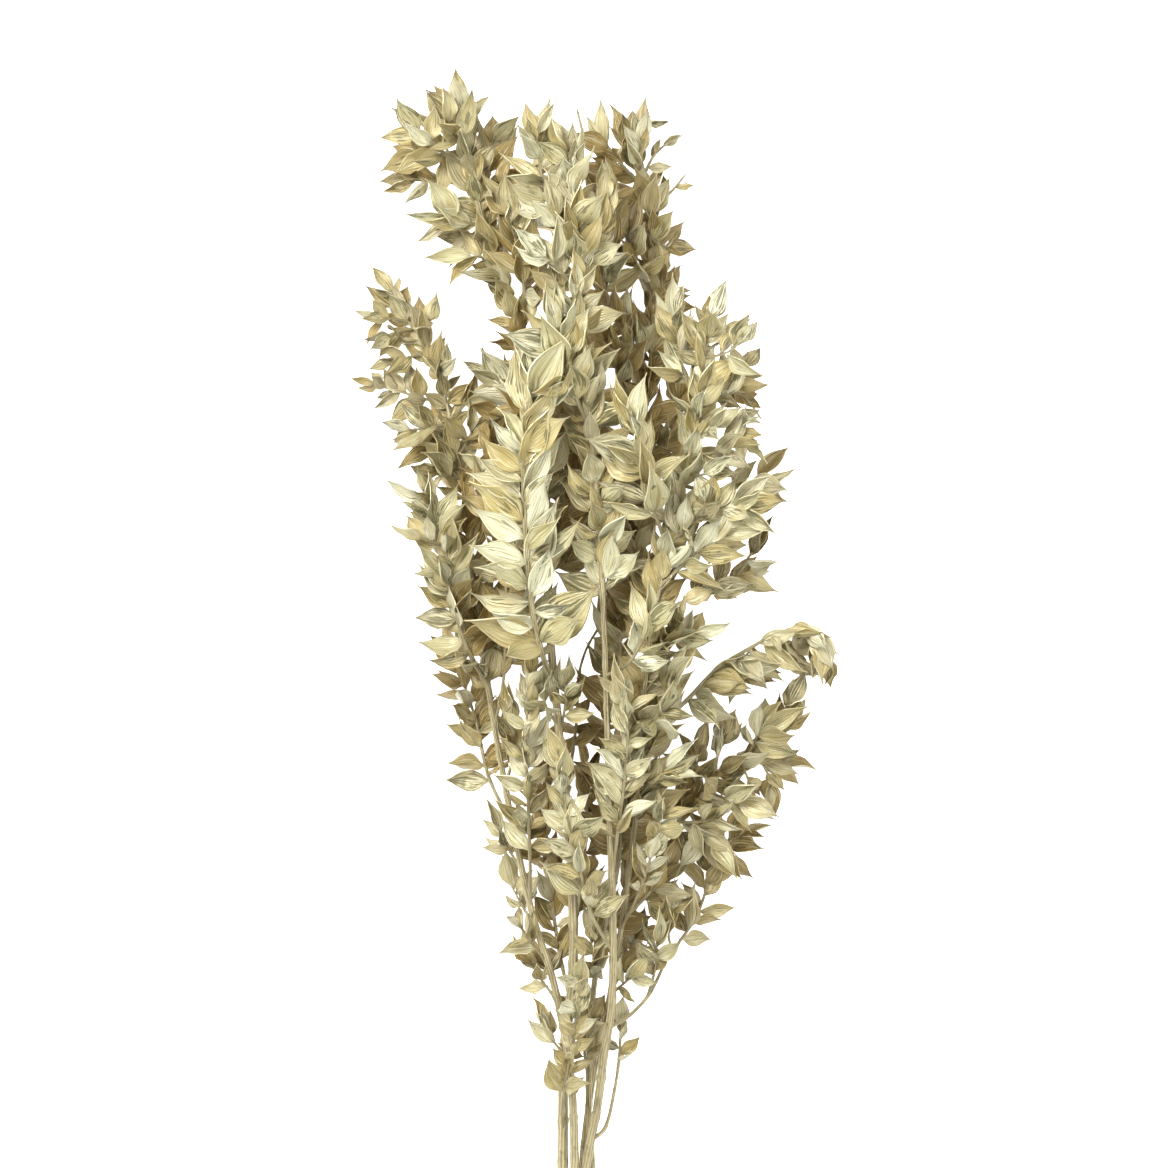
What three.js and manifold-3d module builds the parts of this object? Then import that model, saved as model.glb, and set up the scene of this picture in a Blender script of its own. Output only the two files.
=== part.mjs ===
// Dried ruscus: a bunch of five woody canes, leafy to their tips and tied together near the cut ends.
// Millimetres. The bunch lies on the surface z = 0, with +Y from the cut ends to the tips and +Z up.
// Every cane is one solid, fused with its side shoots and its leaves. The tie is a solid of its own.
import * as THREE from 'three';
import { mergeVertices } from 'three/addons/utils/BufferGeometryUtils.js';
import Module from 'manifold-3d';

const wasm = await Module();
wasm.setup();
const { Manifold, Mesh } = wasm;

// Woody parts
const CANE_SIDES = 5;
const SHOOT_SIDES = 4;
const CANE_STEP = 32; // spacing of the rings along a cane
const SHOOT_STEP = 18;
const THICK_SHOOT = 1.6; // a stem at least this thick at its foot is drawn as a cane
const AXIS_SPOTS = 400; // points tried along an axis when a side shoot is set on it
const AXIS_TENSION = 0.5;

// Leaves
const EVERY = 6; // one leaf in so many is solid here, counted down from the tip of each stem
const CROWDING = 1.5; // leaves to each pitch of a stem
const ROOT_DEPTH = 2; // how far the topmost leaf starts inside the stem's end
const LEAF_WIDTH = 0.47; // of its length
const KEEL = 1.1; // depth of the midrib under the blade
const SHOULDER = 0.34; // where the leaf is widest, as a share of its length
const FLANK = 0.67; // where it starts to draw in to its spine
const FLANK_WIDTH = 0.62; // of the width at the shoulder
const LENGTH_RANGE = [0.8, 1.24]; // of the length that the shoot gives at that height
const WIDTH_RANGE = [0.85, 1.15];
const PLACE_RANGE = 0.3; // how far a root strays along the stem, as a share of the pitch
const GOLDEN_ANGLE = 2.39996; // turn from one leaf to the next round the stem
const FLATTEN = 0.35; // how far leaves lean out to the sides of the bunch
const SPREAD = [0.95, 0.5]; // angle from the stem at the foot and at the tip of a shoot
const SPREAD_RANGE = 0.38;
const TOP_SPREAD = 0.1; // angle of the topmost leaf, which carries the stem on
const TURN_RANGE = 0.55; // how far a leaf strays round the stem from its turn
const SWEEP = [0.04, 0.16]; // how far the tip swings forward along the stem, per unit of length
const REST_HEIGHT = 13; // a stem that ends lower than this rests on the surface with its topmost leaf
const TRIES = 9; // places tried for a leaf that would touch its neighbours
const TRY_TURN = 0.42;
const TRY_SPREAD = 0.09;
const FACE_TILT = 0.7; // how far the faces of the leaves turn away from straight up
const CURL = 0.16; // most that a midrib bends up or down, per unit of length
const CLEARANCE = 0.4; // between two canes, their leaves included
const OWN_CLEARANCE = 0.08; // between the leaves of one cane
const GAP_SEARCH = 0.5; // gaps wider than this needn't be measured
const TOUCH = 1e-6; // a leaf this little under the surface still lies on it

// The draws behind each leaf
const DRAW = {
  place: 0, spread: 1, faceX: 2, faceY: 3, faceZ: 4, length: 5, curl: 6, sweep: 7, width: 8, turn: 9,
};
const CANE_SEEDS = 100;

// The plan grid that the stems are drawn on. Columns count to the right and rows count down from the tips.
// Its lines are `step` apart at the height `level`, as seen from an eye that is `eye` above that level and
// over the grid's middle, at x, y: the higher a point is, the closer to the middle it stands.
const GRID = { step: 0.6, level: 50, eye: 3200, column: 584, row: 584, x: 4.8, y: 410.4 };

// The tie: a flat-sided ring round all five canes
const TIE = { x: 0.9, y: 26, z: 8.8, halfWidth: 13.4, halfHeight: 7.2, corner: 5, wall: 1.6, length: 13 };

// A cane is a list of stems. route: points on the axis, each a column, a row and a height in millimetres.
// radii: at the foot and at the tip. leaves: where they start and end as shares of the length, their
// pitch, the length of the lowest and of the topmost one, and side: 1 where they all grow to the right.
// on: the stem that it grows from, whose axis the first point is moved onto.
const LEFT_CANE = [
  { name: 'main', radii: [2.8, 0.7], leaves: { from: 0.58, pitch: 4.2, size: [27, 18] },
    route: [[573.5, 1263, 11.5], [574.5, 1150, 15], [570, 1070, 27], [554, 985, 33], [530, 905, 34],
      [504, 780, 33], [487, 680, 33], [473, 570, 33], [462, 480, 32], [447, 405, 28], [425, 345, 20],
      [400, 312, 13], [391, 290, 10]] },
  { name: 'twig', on: 'main', radii: [0.9, 0.5], leaves: { from: 0.2, pitch: 5, size: [20, 17] },
    route: [[447, 405, 28], [425, 399, 24], [395, 390, 19], [372, 384, 16]] },
  { name: 'upper', on: 'main', radii: [1.4, 0.6], leaves: { from: 0.12, pitch: 4.4, size: [25, 21] },
    route: [[489, 685, 33], [468, 650, 46], [456, 610, 54], [450, 570, 58], [438, 530, 60],
      [424, 492, 58]] },
  { name: 'low', on: 'main', radii: [1.2, 0.6], leaves: { from: 0.25, pitch: 5, size: [23, 20] },
    route: [[516, 820, 31], [499, 800, 24], [488, 775, 18], [482, 750, 15], [475, 718, 12],
      [464, 684, 10], [453, 655, 9]] },
  { name: 'inner', on: 'main', radii: [1.2, 0.6], leaves: { from: 0.2, pitch: 5.5, size: [21, 17] },
    route: [[535, 905, 30], [530, 860, 46], [528, 800, 60], [526, 740, 68], [529, 685, 70],
      [534, 650, 70]] },
  { name: 'twig_b', on: 'main', radii: [0.9, 0.5], leaves: { from: 0.3, pitch: 5.5, size: [18, 16] },
    route: [[428, 350, 22], [410, 357, 24], [391, 362, 25]] },
  { name: 'fill', on: 'main', radii: [1.1, 0.6], leaves: { from: 0.2, pitch: 5, size: [24, 20] },
    route: [[498, 726, 33], [503, 684, 42], [506, 635, 48], [506, 585, 50], [499, 538, 50],
      [491, 490, 49], [486, 450, 47]] },
  { name: 'twig_c', on: 'main', radii: [0.9, 0.5], leaves: { from: 0.2, pitch: 5, size: [20, 17] },
    route: [[452, 424, 30], [430, 428, 36], [408, 430, 40]] },
  { name: 'twig_d', on: 'main', radii: [0.9, 0.5], leaves: { from: 0.25, pitch: 5.5, size: [22, 18] },
    route: [[462, 478, 32], [446, 476, 37], [436, 474, 40]] },
  { name: 'twig_e', on: 'main', radii: [0.9, 0.5], leaves: { from: 0.3, pitch: 5.5, size: [20, 18] },
    route: [[451, 418, 29], [466, 404, 34], [474, 396, 36]] },
  { name: 'low_b', on: 'main', radii: [0.9, 0.5], leaves: { from: 0.3, pitch: 5.5, size: [20, 18] },
    route: [[536, 930, 34], [520, 902, 28], [509, 880, 24]] },
  { name: 'low_c', on: 'main', radii: [0.9, 0.5], leaves: { from: 0.3, pitch: 5, size: [21, 19] },
    route: [[556, 1000, 32], [540, 978, 30], [531, 962, 29]] },
  { name: 'low_d', on: 'main', radii: [0.9, 0.5], leaves: { from: 0.3, pitch: 5, size: [20, 18] },
    route: [[568, 1060, 28], [554, 1042, 27], [547, 1026, 26]] },
  { name: 'low_e', on: 'main', radii: [0.9, 0.5], leaves: { from: 0.3, pitch: 5, size: [20, 18] },
    route: [[524, 870, 34], [508, 848, 32], [500, 832, 30]] },
  { name: 'top', on: 'main', radii: [0.9, 0.5], leaves: { from: 0.3, pitch: 5, size: [19, 17] },
    route: [[408, 322, 15], [392, 319, 19], [377, 321, 20]] },
  { name: 'upper_b', on: 'upper', radii: [0.9, 0.5], leaves: { from: 0.25, pitch: 5, size: [22, 19] },
    route: [[455, 604, 54], [447, 584, 60], [440, 572, 62]] },
  { name: 'top_b', on: 'main', radii: [0.9, 0.5], leaves: { from: 0.3, pitch: 5, size: [20, 18] },
    route: [[414, 329, 16], [399, 332, 24], [389, 337, 27]] },
  { name: 'top_c', on: 'main', radii: [0.9, 0.5], leaves: { from: 0.3, pitch: 5, size: [19, 17] },
    route: [[419, 336, 18], [424, 327, 25], [428, 319, 28]] },
  { name: 'twig_f', on: 'main', radii: [0.9, 0.5], leaves: { from: 0.3, pitch: 5, size: [21, 18] },
    route: [[443, 392, 27], [442, 377, 34], [444, 366, 36]] },
  { name: 'twig_g', on: 'main', radii: [0.9, 0.5], leaves: { from: 0.3, pitch: 5, size: [22, 19] },
    route: [[457, 452, 31], [441, 449, 24], [430, 447, 21]] },
  { name: 'upper_c', on: 'upper', radii: [0.9, 0.5], leaves: { from: 0.3, pitch: 5, size: [22, 19] },
    route: [[442, 545, 59], [429, 541, 66], [420, 538, 68]] },
  { name: 'low_f', on: 'main', radii: [0.9, 0.5], leaves: { from: 0.3, pitch: 5, size: [21, 19] },
    route: [[546, 966, 33], [531, 942, 40], [519, 926, 43]] },
  { name: 'fill_b', on: 'main', radii: [1, 0.5], leaves: { from: 0.25, pitch: 5, size: [23, 20] },
    route: [[505, 785, 33], [512, 762, 41], [513, 735, 45], [509, 712, 46]] },
  { name: 'twig_h', on: 'main', radii: [0.9, 0.5], leaves: { from: 0.3, pitch: 5, size: [22, 20] },
    route: [[458, 455, 31], [467, 442, 38], [472, 431, 40]] },
];

const THICK_CANE = [
  { name: 'main', radii: [3.4, 1.5], leaves: { from: 0.64, pitch: 4.6, size: [26, 25] },
    route: [[562.7, 1268, 8], [562.7, 1150, 9.5], [564, 1060, 17], [573, 965, 35], [570, 850, 50],
      [560, 740, 60], [549, 620, 66], [546, 500, 66], [538, 400, 60], [520, 330, 54], [500, 270, 50],
      [481, 212, 48], [471, 165, 49], [463, 108, 50]] },
  { name: 'front', on: 'main', radii: [1.7, 0.8], leaves: { from: 0.15, pitch: 4.5, size: [34, 33] },
    route: [[554, 690, 63], [541, 650, 80], [531, 600, 93], [526, 540, 101], [523, 470, 104],
      [527, 410, 104], [533, 386, 103]] },
  { name: 'right', on: 'main', radii: [1.2, 0.6], leaves: { from: 0.2, to: 0.5, pitch: 9, size: [16, 14] },
    route: [[565, 795, 54], [573, 750, 44], [577, 715, 37], [578, 680, 33], [586, 650, 30],
      [600, 625, 28], [613, 598, 26]] },
  { name: 'top_a', on: 'main', radii: [1, 0.6], leaves: { from: 0.25, pitch: 5, size: [26, 23] },
    route: [[486, 228, 49], [464, 222, 56], [446, 218, 58]] },
  { name: 'top_b', on: 'main', radii: [1, 0.6], leaves: { from: 0.3, pitch: 5.5, size: [24, 22] },
    route: [[474, 192, 48], [448, 182, 40], [412, 180, 36]] },
  { name: 'top_c', on: 'main', radii: [1, 0.6], leaves: { from: 0.3, pitch: 5.5, size: [26, 25] },
    route: [[471, 166, 49], [446, 155, 56], [426, 139, 60], [415, 127, 61]] },
  { name: 'top_d', on: 'main', radii: [1, 0.6], leaves: { from: 0.2, pitch: 5, size: [25, 22] },
    route: [[478, 204, 48], [490, 172, 40], [492, 140, 36]] },
  { name: 'fill', on: 'main', radii: [1.1, 0.6], leaves: { from: 0.2, pitch: 5, size: [27, 24] },
    route: [[519, 330, 54], [524, 290, 62], [516, 245, 64], [506, 210, 60]] },
  { name: 'back_a', on: 'main', radii: [1.2, 0.6], leaves: { from: 0.12, pitch: 5.2, size: [23, 19] },
    route: [[570, 1000, 28], [558, 945, 22], [550, 880, 18], [545, 810, 17], [547, 752, 18]] },
  { name: 'back_b', on: 'main', radii: [1.2, 0.6], leaves: { from: 0.12, pitch: 5.4, size: [22, 18] },
    route: [[572, 938, 38], [581, 885, 30], [587, 820, 26], [584, 765, 24]] },
  { name: 'back_c', on: 'main', radii: [1.2, 0.6], leaves: { from: 0.15, pitch: 5, size: [28, 24] },
    route: [[549, 602, 66], [556, 545, 56], [566, 490, 46], [568, 435, 42]] },
  { name: 'back_d', on: 'main', radii: [1.1, 0.6], leaves: { from: 0.2, pitch: 5.2, size: [26, 23] },
    route: [[541, 425, 62], [518, 398, 52], [492, 376, 46]] },
  { name: 'front_low', on: 'main', radii: [1.1, 0.6], leaves: { from: 0.25, pitch: 5, size: [19, 16] },
    route: [[564, 1132, 11], [562, 1110, 20], [564, 1090, 30], [571, 1052, 38], [577, 1010, 45],
      [582, 975, 50]] },
  { name: 'top_e', on: 'main', radii: [0.9, 0.5], leaves: { from: 0.3, pitch: 5.5, size: [25, 23] },
    route: [[470, 158, 49], [454, 134, 56], [446, 118, 58]] },
  { name: 'top_f', on: 'main', radii: [0.9, 0.5], leaves: { from: 0.3, pitch: 5.5, size: [24, 22] },
    route: [[476, 190, 48], [492, 187, 55], [504, 185, 58]] },
  { name: 'top_g', on: 'main', radii: [0.9, 0.5], leaves: { from: 0.3, pitch: 5.5, size: [25, 23] },
    route: [[497, 262, 50], [480, 257, 54], [470, 257, 56]] },
  { name: 'top_h', on: 'main', radii: [0.9, 0.5], leaves: { from: 0.3, pitch: 5.5, size: [25, 23] },
    route: [[468, 148, 49], [444, 154, 44], [422, 157, 41]] },
  { name: 'top_i', on: 'main', radii: [0.9, 0.5], leaves: { from: 0.3, pitch: 5.5, size: [24, 22] },
    route: [[485, 224, 49], [472, 234, 43], [463, 237, 40]] },
  { name: 'back_e', on: 'main', radii: [1, 0.6], leaves: { from: 0.25, pitch: 5.2, size: [25, 22] },
    route: [[538, 402, 60], [516, 410, 50], [499, 420, 44]] },
  { name: 'front_b', on: 'main', radii: [0.9, 0.5], leaves: { from: 0.3, pitch: 5, size: [22, 19] },
    route: [[559, 735, 60], [565, 706, 66], [565, 684, 69]] },
  { name: 'front_c', on: 'main', radii: [0.9, 0.5], leaves: { from: 0.3, pitch: 5, size: [23, 20] },
    route: [[559, 728, 60], [547, 708, 68], [541, 690, 72]] },
];

const CENTRE_CANE = [
  { name: 'main', radii: [2.9, 0.8], leaves: { from: 0.59, to: 0.98, pitch: 4.2, size: [26, 25] },
    route: [[585.2, 1260, 9.5], [585.2, 1176, 13], [597, 1110, 24], [604, 1055, 33], [612, 1000, 43],
      [613, 920, 56], [609, 800, 72], [606, 680, 80], [601, 560, 84], [592, 440, 88], [578, 370, 92],
      [576, 300, 92], [574, 240, 88], [570, 170, 82], [562, 125, 78]] },
  { name: 'low', on: 'main', radii: [1.3, 0.6], leaves: { from: 0.6, pitch: 6, size: [18, 17] },
    route: [[589, 1140, 20], [605, 1128, 19], [613, 1098, 21], [619, 1060, 24], [621, 1022, 26]] },
  { name: 'right', on: 'main', radii: [1.3, 0.6], leaves: { from: 0.5, pitch: 5.5, size: [24, 19] },
    route: [[606, 1025, 36], [630, 1015, 31], [650, 993, 26], [668, 958, 22], [697, 915, 18],
      [710, 870, 15], [712, 836, 14]] },
  { name: 'right_tip', on: 'right', radii: [0.9, 0.5], leaves: { from: 0.2, pitch: 5, size: [22, 18] },
    route: [[710, 868, 15], [728, 842, 13], [746, 832, 10]] },
  { name: 'twig', on: 'main', radii: [1.2, 0.6], leaves: { from: 0.35, pitch: 5.5, size: [25, 21] },
    route: [[606, 677, 80], [628, 664, 92], [642, 640, 98], [650, 612, 100]] },
  { name: 'left', on: 'main', radii: [1.2, 0.6], leaves: { from: 0.2, pitch: 5, size: [26, 22] },
    route: [[574, 262, 90], [553, 215, 84], [541, 172, 78], [537, 132, 74]] },
  { name: 'stub', on: 'main', radii: [1, 0.7], leaves: { from: 0.2, to: 0.4, pitch: 6, size: [15, 14] },
    route: [[571, 180, 84], [582, 140, 88], [577, 108, 90]] },
  { name: 'fill_a', on: 'main', radii: [1.1, 0.6], leaves: { from: 0.15, pitch: 5, size: [26, 20] },
    route: [[576, 284, 91], [592, 252, 84], [602, 215, 78], [604, 190, 74]] },
  { name: 'fill_b', on: 'main', radii: [1.2, 0.6], leaves: { from: 0.2, pitch: 5, size: [24, 20] },
    route: [[612, 951, 50], [592, 915, 60], [580, 870, 68], [566, 810, 74], [562, 762, 76]] },
  { name: 'front_a', on: 'main', radii: [1.2, 0.6], leaves: { from: 0.2, pitch: 5, size: [24, 20] },
    route: [[611, 880, 62], [618, 830, 72], [625, 775, 80], [628, 722, 85], [622, 690, 87]] },
  { name: 'front_b', on: 'main', radii: [1.2, 0.6], leaves: { from: 0.2, pitch: 5, size: [30, 27] },
    route: [[590, 430, 88], [574, 392, 100], [562, 352, 106], [555, 322, 106]] },
  { name: 'left_b', on: 'main', radii: [0.9, 0.5], leaves: { from: 0.3, pitch: 5.5, size: [25, 22] },
    route: [[575, 288, 91], [556, 266, 97], [544, 256, 99]] },
  { name: 'right_low', on: 'right', radii: [0.9, 0.5], leaves: { from: 0.3, pitch: 5, size: [22, 19] },
    route: [[648, 996, 26], [655, 970, 34], [657, 942, 38]] },
  { name: 'right_mid', on: 'right', radii: [0.9, 0.5], leaves: { from: 0.3, pitch: 5, size: [22, 19] },
    route: [[672, 952, 21], [668, 930, 29], [671, 908, 33]] },
  { name: 'left_c', on: 'main', radii: [0.9, 0.5], leaves: { from: 0.3, pitch: 5.5, size: [25, 22] },
    route: [[576, 308, 92], [563, 296, 86], [554, 286, 83]] },
];

const INNER_CANE = [
  { name: 'main', radii: [2.1, 0.7], leaves: { from: 0.36, pitch: 4.4, size: [27, 22] },
    route: [[594.3, 1265, 7.5], [592, 1165, 9.5], [588.5, 1100, 15.5], [592.5, 1000, 25], [604, 930, 31],
      [618, 860, 33], [619, 780, 36], [617, 700, 38], [620, 640, 38], [628, 580, 36], [636, 500, 33],
      [645, 420, 30], [652, 340, 27], [655, 280, 25], [646, 205, 24], [626, 140, 24]] },
  { name: 'top_a', on: 'main', radii: [1, 0.5], leaves: { from: 0.15, to: 0.65, pitch: 9, size: [15, 13] },
    route: [[641, 185, 24], [648, 166, 27], [660, 149, 29], [684, 134, 30]] },
  { name: 'top_b', on: 'main', radii: [1, 0.5], leaves: { from: 0.15, to: 0.65, pitch: 9, size: [15, 13] },
    route: [[647, 210, 24], [668, 195, 20], [687, 173, 18]] },
  { name: 'top_c', on: 'main', radii: [1, 0.6], leaves: { from: 0.2, to: 0.6, pitch: 9, size: [17, 14] },
    route: [[651, 240, 24], [662, 246, 28], [678, 250, 30]] },
  { name: 'top_d', on: 'main', radii: [1, 0.6], leaves: { from: 0.4, pitch: 6, size: [23, 21] },
    route: [[652, 345, 27], [658, 322, 20], [663, 302, 14], [668, 288, 11]] },
  { name: 'top_e', on: 'main', radii: [1, 0.6], leaves: { from: 0.2, pitch: 5, size: [24, 20] },
    route: [[640, 185, 24], [616, 158, 30], [604, 140, 34]] },
  { name: 'back_a', on: 'main', radii: [1.3, 0.6], leaves: { from: 0.2, pitch: 5, size: [25, 21] },
    route: [[628, 585, 36], [606, 545, 27], [592, 490, 22], [584, 430, 19], [578, 385, 18]] },
  { name: 'back_b', on: 'main', radii: [1.2, 0.6], leaves: { from: 0.2, pitch: 5, size: [25, 21] },
    route: [[638, 482, 32], [662, 450, 24], [677, 418, 20], [679, 396, 19]] },
  { name: 'top_f', on: 'main', radii: [0.9, 0.5], leaves: { from: 0.3, to: 0.8, pitch: 7, size: [16, 14] },
    route: [[630, 150, 24], [640, 126, 27], [652, 115, 28]] },
  { name: 'fill', on: 'main', radii: [1.2, 0.6], leaves: { from: 0.15, pitch: 5, size: [27, 22] },
    route: [[642, 427, 30], [622, 385, 38], [609, 335, 44], [604, 285, 46], [606, 235, 44],
      [611, 194, 40]] },
  { name: 'low_a', on: 'main', radii: [1.2, 0.6], leaves: { from: 0.15, pitch: 5, size: [23, 19] },
    route: [[600, 960, 28], [620, 905, 22], [636, 850, 18], [648, 805, 16]] },
  { name: 'top_g', on: 'main', radii: [0.9, 0.5], leaves: { from: 0.3, pitch: 5, size: [22, 20] },
    route: [[641, 180, 24], [640, 158, 33], [638, 138, 37]] },
  { name: 'top_h', on: 'main', radii: [0.9, 0.5], leaves: { from: 0.3, pitch: 5.5, size: [20, 18] },
    route: [[651, 268, 25], [663, 250, 18], [671, 241, 15]] },
  { name: 'low_b', on: 'main', radii: [0.9, 0.5], leaves: { from: 0.25, pitch: 5, size: [20, 18] },
    route: [[589, 1085, 17], [584, 1045, 26], [585, 1005, 31]] },
  { name: 'low_c', on: 'main', radii: [0.9, 0.5], leaves: { from: 0.25, pitch: 5, size: [23, 20] },
    route: [[592, 1000, 25], [594, 965, 34], [590, 935, 40]] },
  { name: 'fill_b', on: 'main', radii: [1, 0.5], leaves: { from: 0.25, pitch: 5, size: [23, 20] },
    route: [[654, 302, 26], [641, 274, 36], [631, 248, 41], [628, 230, 42]] },
  { name: 'fill_c', on: 'main', radii: [1, 0.5], leaves: { from: 0.25, pitch: 5, size: [23, 20] },
    route: [[649, 376, 28], [635, 348, 37], [629, 320, 41]] },
];

const RIGHT_CANE = [
  { name: 'main', radii: [2.3, 0.7], leaves: { from: 0.46, pitch: 4.3, size: [27, 21] },
    route: [[577.7, 1258, 4.4], [581, 1185, 5], [586, 1126, 6.5], [596, 1060, 13], [609, 1000, 23],
      [622.5, 920, 38], [634, 830, 52], [641, 740, 64], [646, 680, 70], [653, 625, 74], [663, 570, 77],
      [680, 495, 80], [697, 420, 80], [704, 360, 77], [711, 318, 72]] },
  { name: 'front', on: 'main', radii: [1.3, 0.7], leaves: { from: 0.25, pitch: 4.8, size: [31, 28] },
    route: [[668, 548, 78], [652, 505, 92], [642, 460, 99], [632, 424, 100]] },
  { name: 'right_a', on: 'main', radii: [1.1, 0.5], leaves: { from: 0.25, pitch: 5.2, size: [24, 19] },
    route: [[654, 618, 74.5], [690, 598, 68], [715, 584, 62], [738, 574, 56], [752, 572, 52]] },
  { name: 'right_b', on: 'main', radii: [1.1, 0.5], leaves: { from: 0.25, pitch: 4.8, size: [25, 24] },
    route: [[682, 485, 80], [706, 490, 76], [735, 488, 68], [761, 478, 61]] },
  { name: 'top_a', on: 'main', radii: [1, 0.5], leaves: { from: 0.25, pitch: 5.5, size: [22, 17] },
    route: [[699, 410, 80], [720, 398, 72], [738, 378, 64], [748, 364, 60]] },
  { name: 'top_b', on: 'main', radii: [1, 0.5], leaves: { from: 0.3, pitch: 6, size: [20, 17] },
    route: [[705, 352, 76], [720, 342, 70], [732, 334, 66]] },
  { name: 'arch', on: 'main', radii: [1.5, 0.6],
    leaves: { from: 0.22, pitch: 5, size: [27, 21], side: 1 },
    route: [[641, 742, 64], [668, 718, 62], [690, 697, 57], [718, 668, 52], [750, 648, 48],
      [778, 633, 45], [802, 628, 42], [822, 640, 38], [832, 660, 32]] },
  { name: 'low', on: 'main', radii: [1.5, 0.6], leaves: { from: 0.22, pitch: 5, size: [26, 21] },
    route: [[631, 850, 49], [655, 840, 44], [680, 818, 38], [700, 793, 32], [715, 773, 28],
      [740, 762, 24], [762, 760, 21], [782, 762, 19]] },
  { name: 'low_a', on: 'low', radii: [0.9, 0.5], leaves: { from: 0.2, pitch: 4.8, size: [21, 18] },
    route: [[757, 760, 21.5], [774, 740, 26], [784, 718, 30], [790, 702, 32]] },
  { name: 'low_b', on: 'low', radii: [0.9, 0.5], leaves: { from: 0.3, pitch: 5.5, size: [24, 22] },
    route: [[715, 773, 28], [718, 754, 33], [724, 742, 37]] },
  { name: 'top_c', on: 'main', radii: [0.9, 0.5], leaves: { from: 0.15, to: 0.6, pitch: 6, size: [22, 16] },
    route: [[699, 408, 80], [720, 396, 70], [742, 395, 62], [762, 420, 56]] },
  { name: 'fill_a', on: 'main', radii: [1.1, 0.6], leaves: { from: 0.2, pitch: 5, size: [26, 22] },
    route: [[660, 585, 76], [687, 561, 82], [712, 540, 84], [728, 528, 82]] },
  { name: 'fill_b', on: 'main', radii: [1.1, 0.6], leaves: { from: 0.2, pitch: 5, size: [25, 21] },
    route: [[650, 652, 73], [638, 601, 66], [636, 555, 60], [643, 515, 56]] },
  { name: 'fill_c', on: 'main', radii: [1.1, 0.6], leaves: { from: 0.35, pitch: 5, size: [22, 20] },
    route: [[621, 928, 36], [638, 895, 52], [651, 856, 62], [660, 815, 66]] },
  { name: 'low_c', on: 'low', radii: [0.9, 0.5], leaves: { from: 0.3, pitch: 5.5, size: [21, 19] },
    route: [[740, 762, 24], [746, 774, 33], [750, 786, 37]] },
  { name: 'top_d', on: 'main', radii: [1, 0.5], leaves: { from: 0.25, pitch: 5.2, size: [24, 20] },
    route: [[698, 416, 80], [717, 420, 77], [735, 416, 72]] },
  { name: 'right_c', on: 'main', radii: [0.9, 0.5], leaves: { from: 0.25, pitch: 5, size: [24, 21] },
    route: [[690, 455, 80], [712, 453, 86], [733, 446, 88]] },
  { name: 'right_d', on: 'main', radii: [0.9, 0.5], leaves: { from: 0.3, pitch: 5, size: [23, 20] },
    route: [[650, 652, 73], [676, 640, 78], [696, 634, 80]] },
  { name: 'low_d', on: 'low', radii: [0.9, 0.5], leaves: { from: 0.3, pitch: 5, size: [23, 20] },
    route: [[676, 822, 39], [698, 822, 45], [716, 818, 47]] },
  { name: 'low_e', on: 'low', radii: [0.9, 0.5], leaves: { from: 0.3, pitch: 5, size: [23, 21] },
    route: [[700, 793, 32], [696, 772, 39], [699, 756, 42]] },
  { name: 'base_a', on: 'main', radii: [1, 0.5], leaves: { from: 0.25, pitch: 5, size: [22, 19] },
    route: [[611, 990, 24], [626, 965, 21], [636, 935, 19]] },
  { name: 'base_b', on: 'main', radii: [1, 0.5], leaves: { from: 0.2, pitch: 5, size: [24, 20] },
    route: [[623, 918, 38], [643, 900, 33], [662, 878, 31], [676, 852, 31]] },
  { name: 'fill_d', on: 'main', radii: [1, 0.5], leaves: { from: 0.25, pitch: 5, size: [24, 21] },
    route: [[698, 412, 80], [685, 376, 72], [678, 340, 66], [675, 312, 62]] },
  { name: 'fill_e', on: 'main', radii: [1, 0.5], leaves: { from: 0.25, pitch: 5, size: [25, 22] },
    route: [[640, 750, 63], [654, 724, 72], [667, 696, 79], [675, 668, 82]] },
  { name: 'fill_f', on: 'main', radii: [0.9, 0.5], leaves: { from: 0.3, pitch: 5, size: [23, 20] },
    route: [[637, 800, 56], [652, 780, 64], [667, 767, 67]] },
  { name: 'right_e', on: 'main', radii: [1, 0.5], leaves: { from: 0.25, pitch: 5, size: [25, 22] },
    route: [[675, 518, 79], [700, 512, 88], [726, 508, 92], [744, 506, 92]] },
  { name: 'right_f', on: 'right_a', radii: [0.9, 0.5], leaves: { from: 0.3, pitch: 5, size: [22, 20] },
    route: [[737, 574, 56], [748, 558, 62], [756, 547, 64]] },
  { name: 'top_e', on: 'main', radii: [0.9, 0.5], leaves: { from: 0.3, pitch: 5.5, size: [20, 18] },
    route: [[705, 358, 76], [726, 353, 84], [742, 341, 87]] },
  { name: 'low_f', on: 'low', radii: [0.9, 0.5], leaves: { from: 0.3, pitch: 5, size: [24, 22] },
    route: [[746, 761, 23], [755, 740, 34], [763, 720, 39]] },
  { name: 'low_g', on: 'low', radii: [0.9, 0.5], leaves: { from: 0.3, pitch: 5, size: [25, 22] },
    route: [[702, 790, 31], [722, 797, 40], [740, 803, 44]] },
  { name: 'low_h', on: 'low', radii: [0.9, 0.5], leaves: { from: 0.3, pitch: 5, size: [23, 21] },
    route: [[688, 809, 36], [703, 836, 34], [718, 850, 33]] },
  { name: 'base_c', on: 'main', radii: [0.9, 0.5], leaves: { from: 0.3, pitch: 5, size: [20, 18] },
    route: [[610, 994, 24], [622, 985, 32], [633, 976, 36]] },
  { name: 'right_g', on: 'main', radii: [0.9, 0.5], leaves: { from: 0.3, pitch: 5, size: [24, 21] },
    route: [[648, 666, 71], [664, 642, 81], [674, 620, 85]] },
  { name: 'right_h', on: 'main', radii: [0.9, 0.5], leaves: { from: 0.3, pitch: 5, size: [24, 21] },
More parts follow.
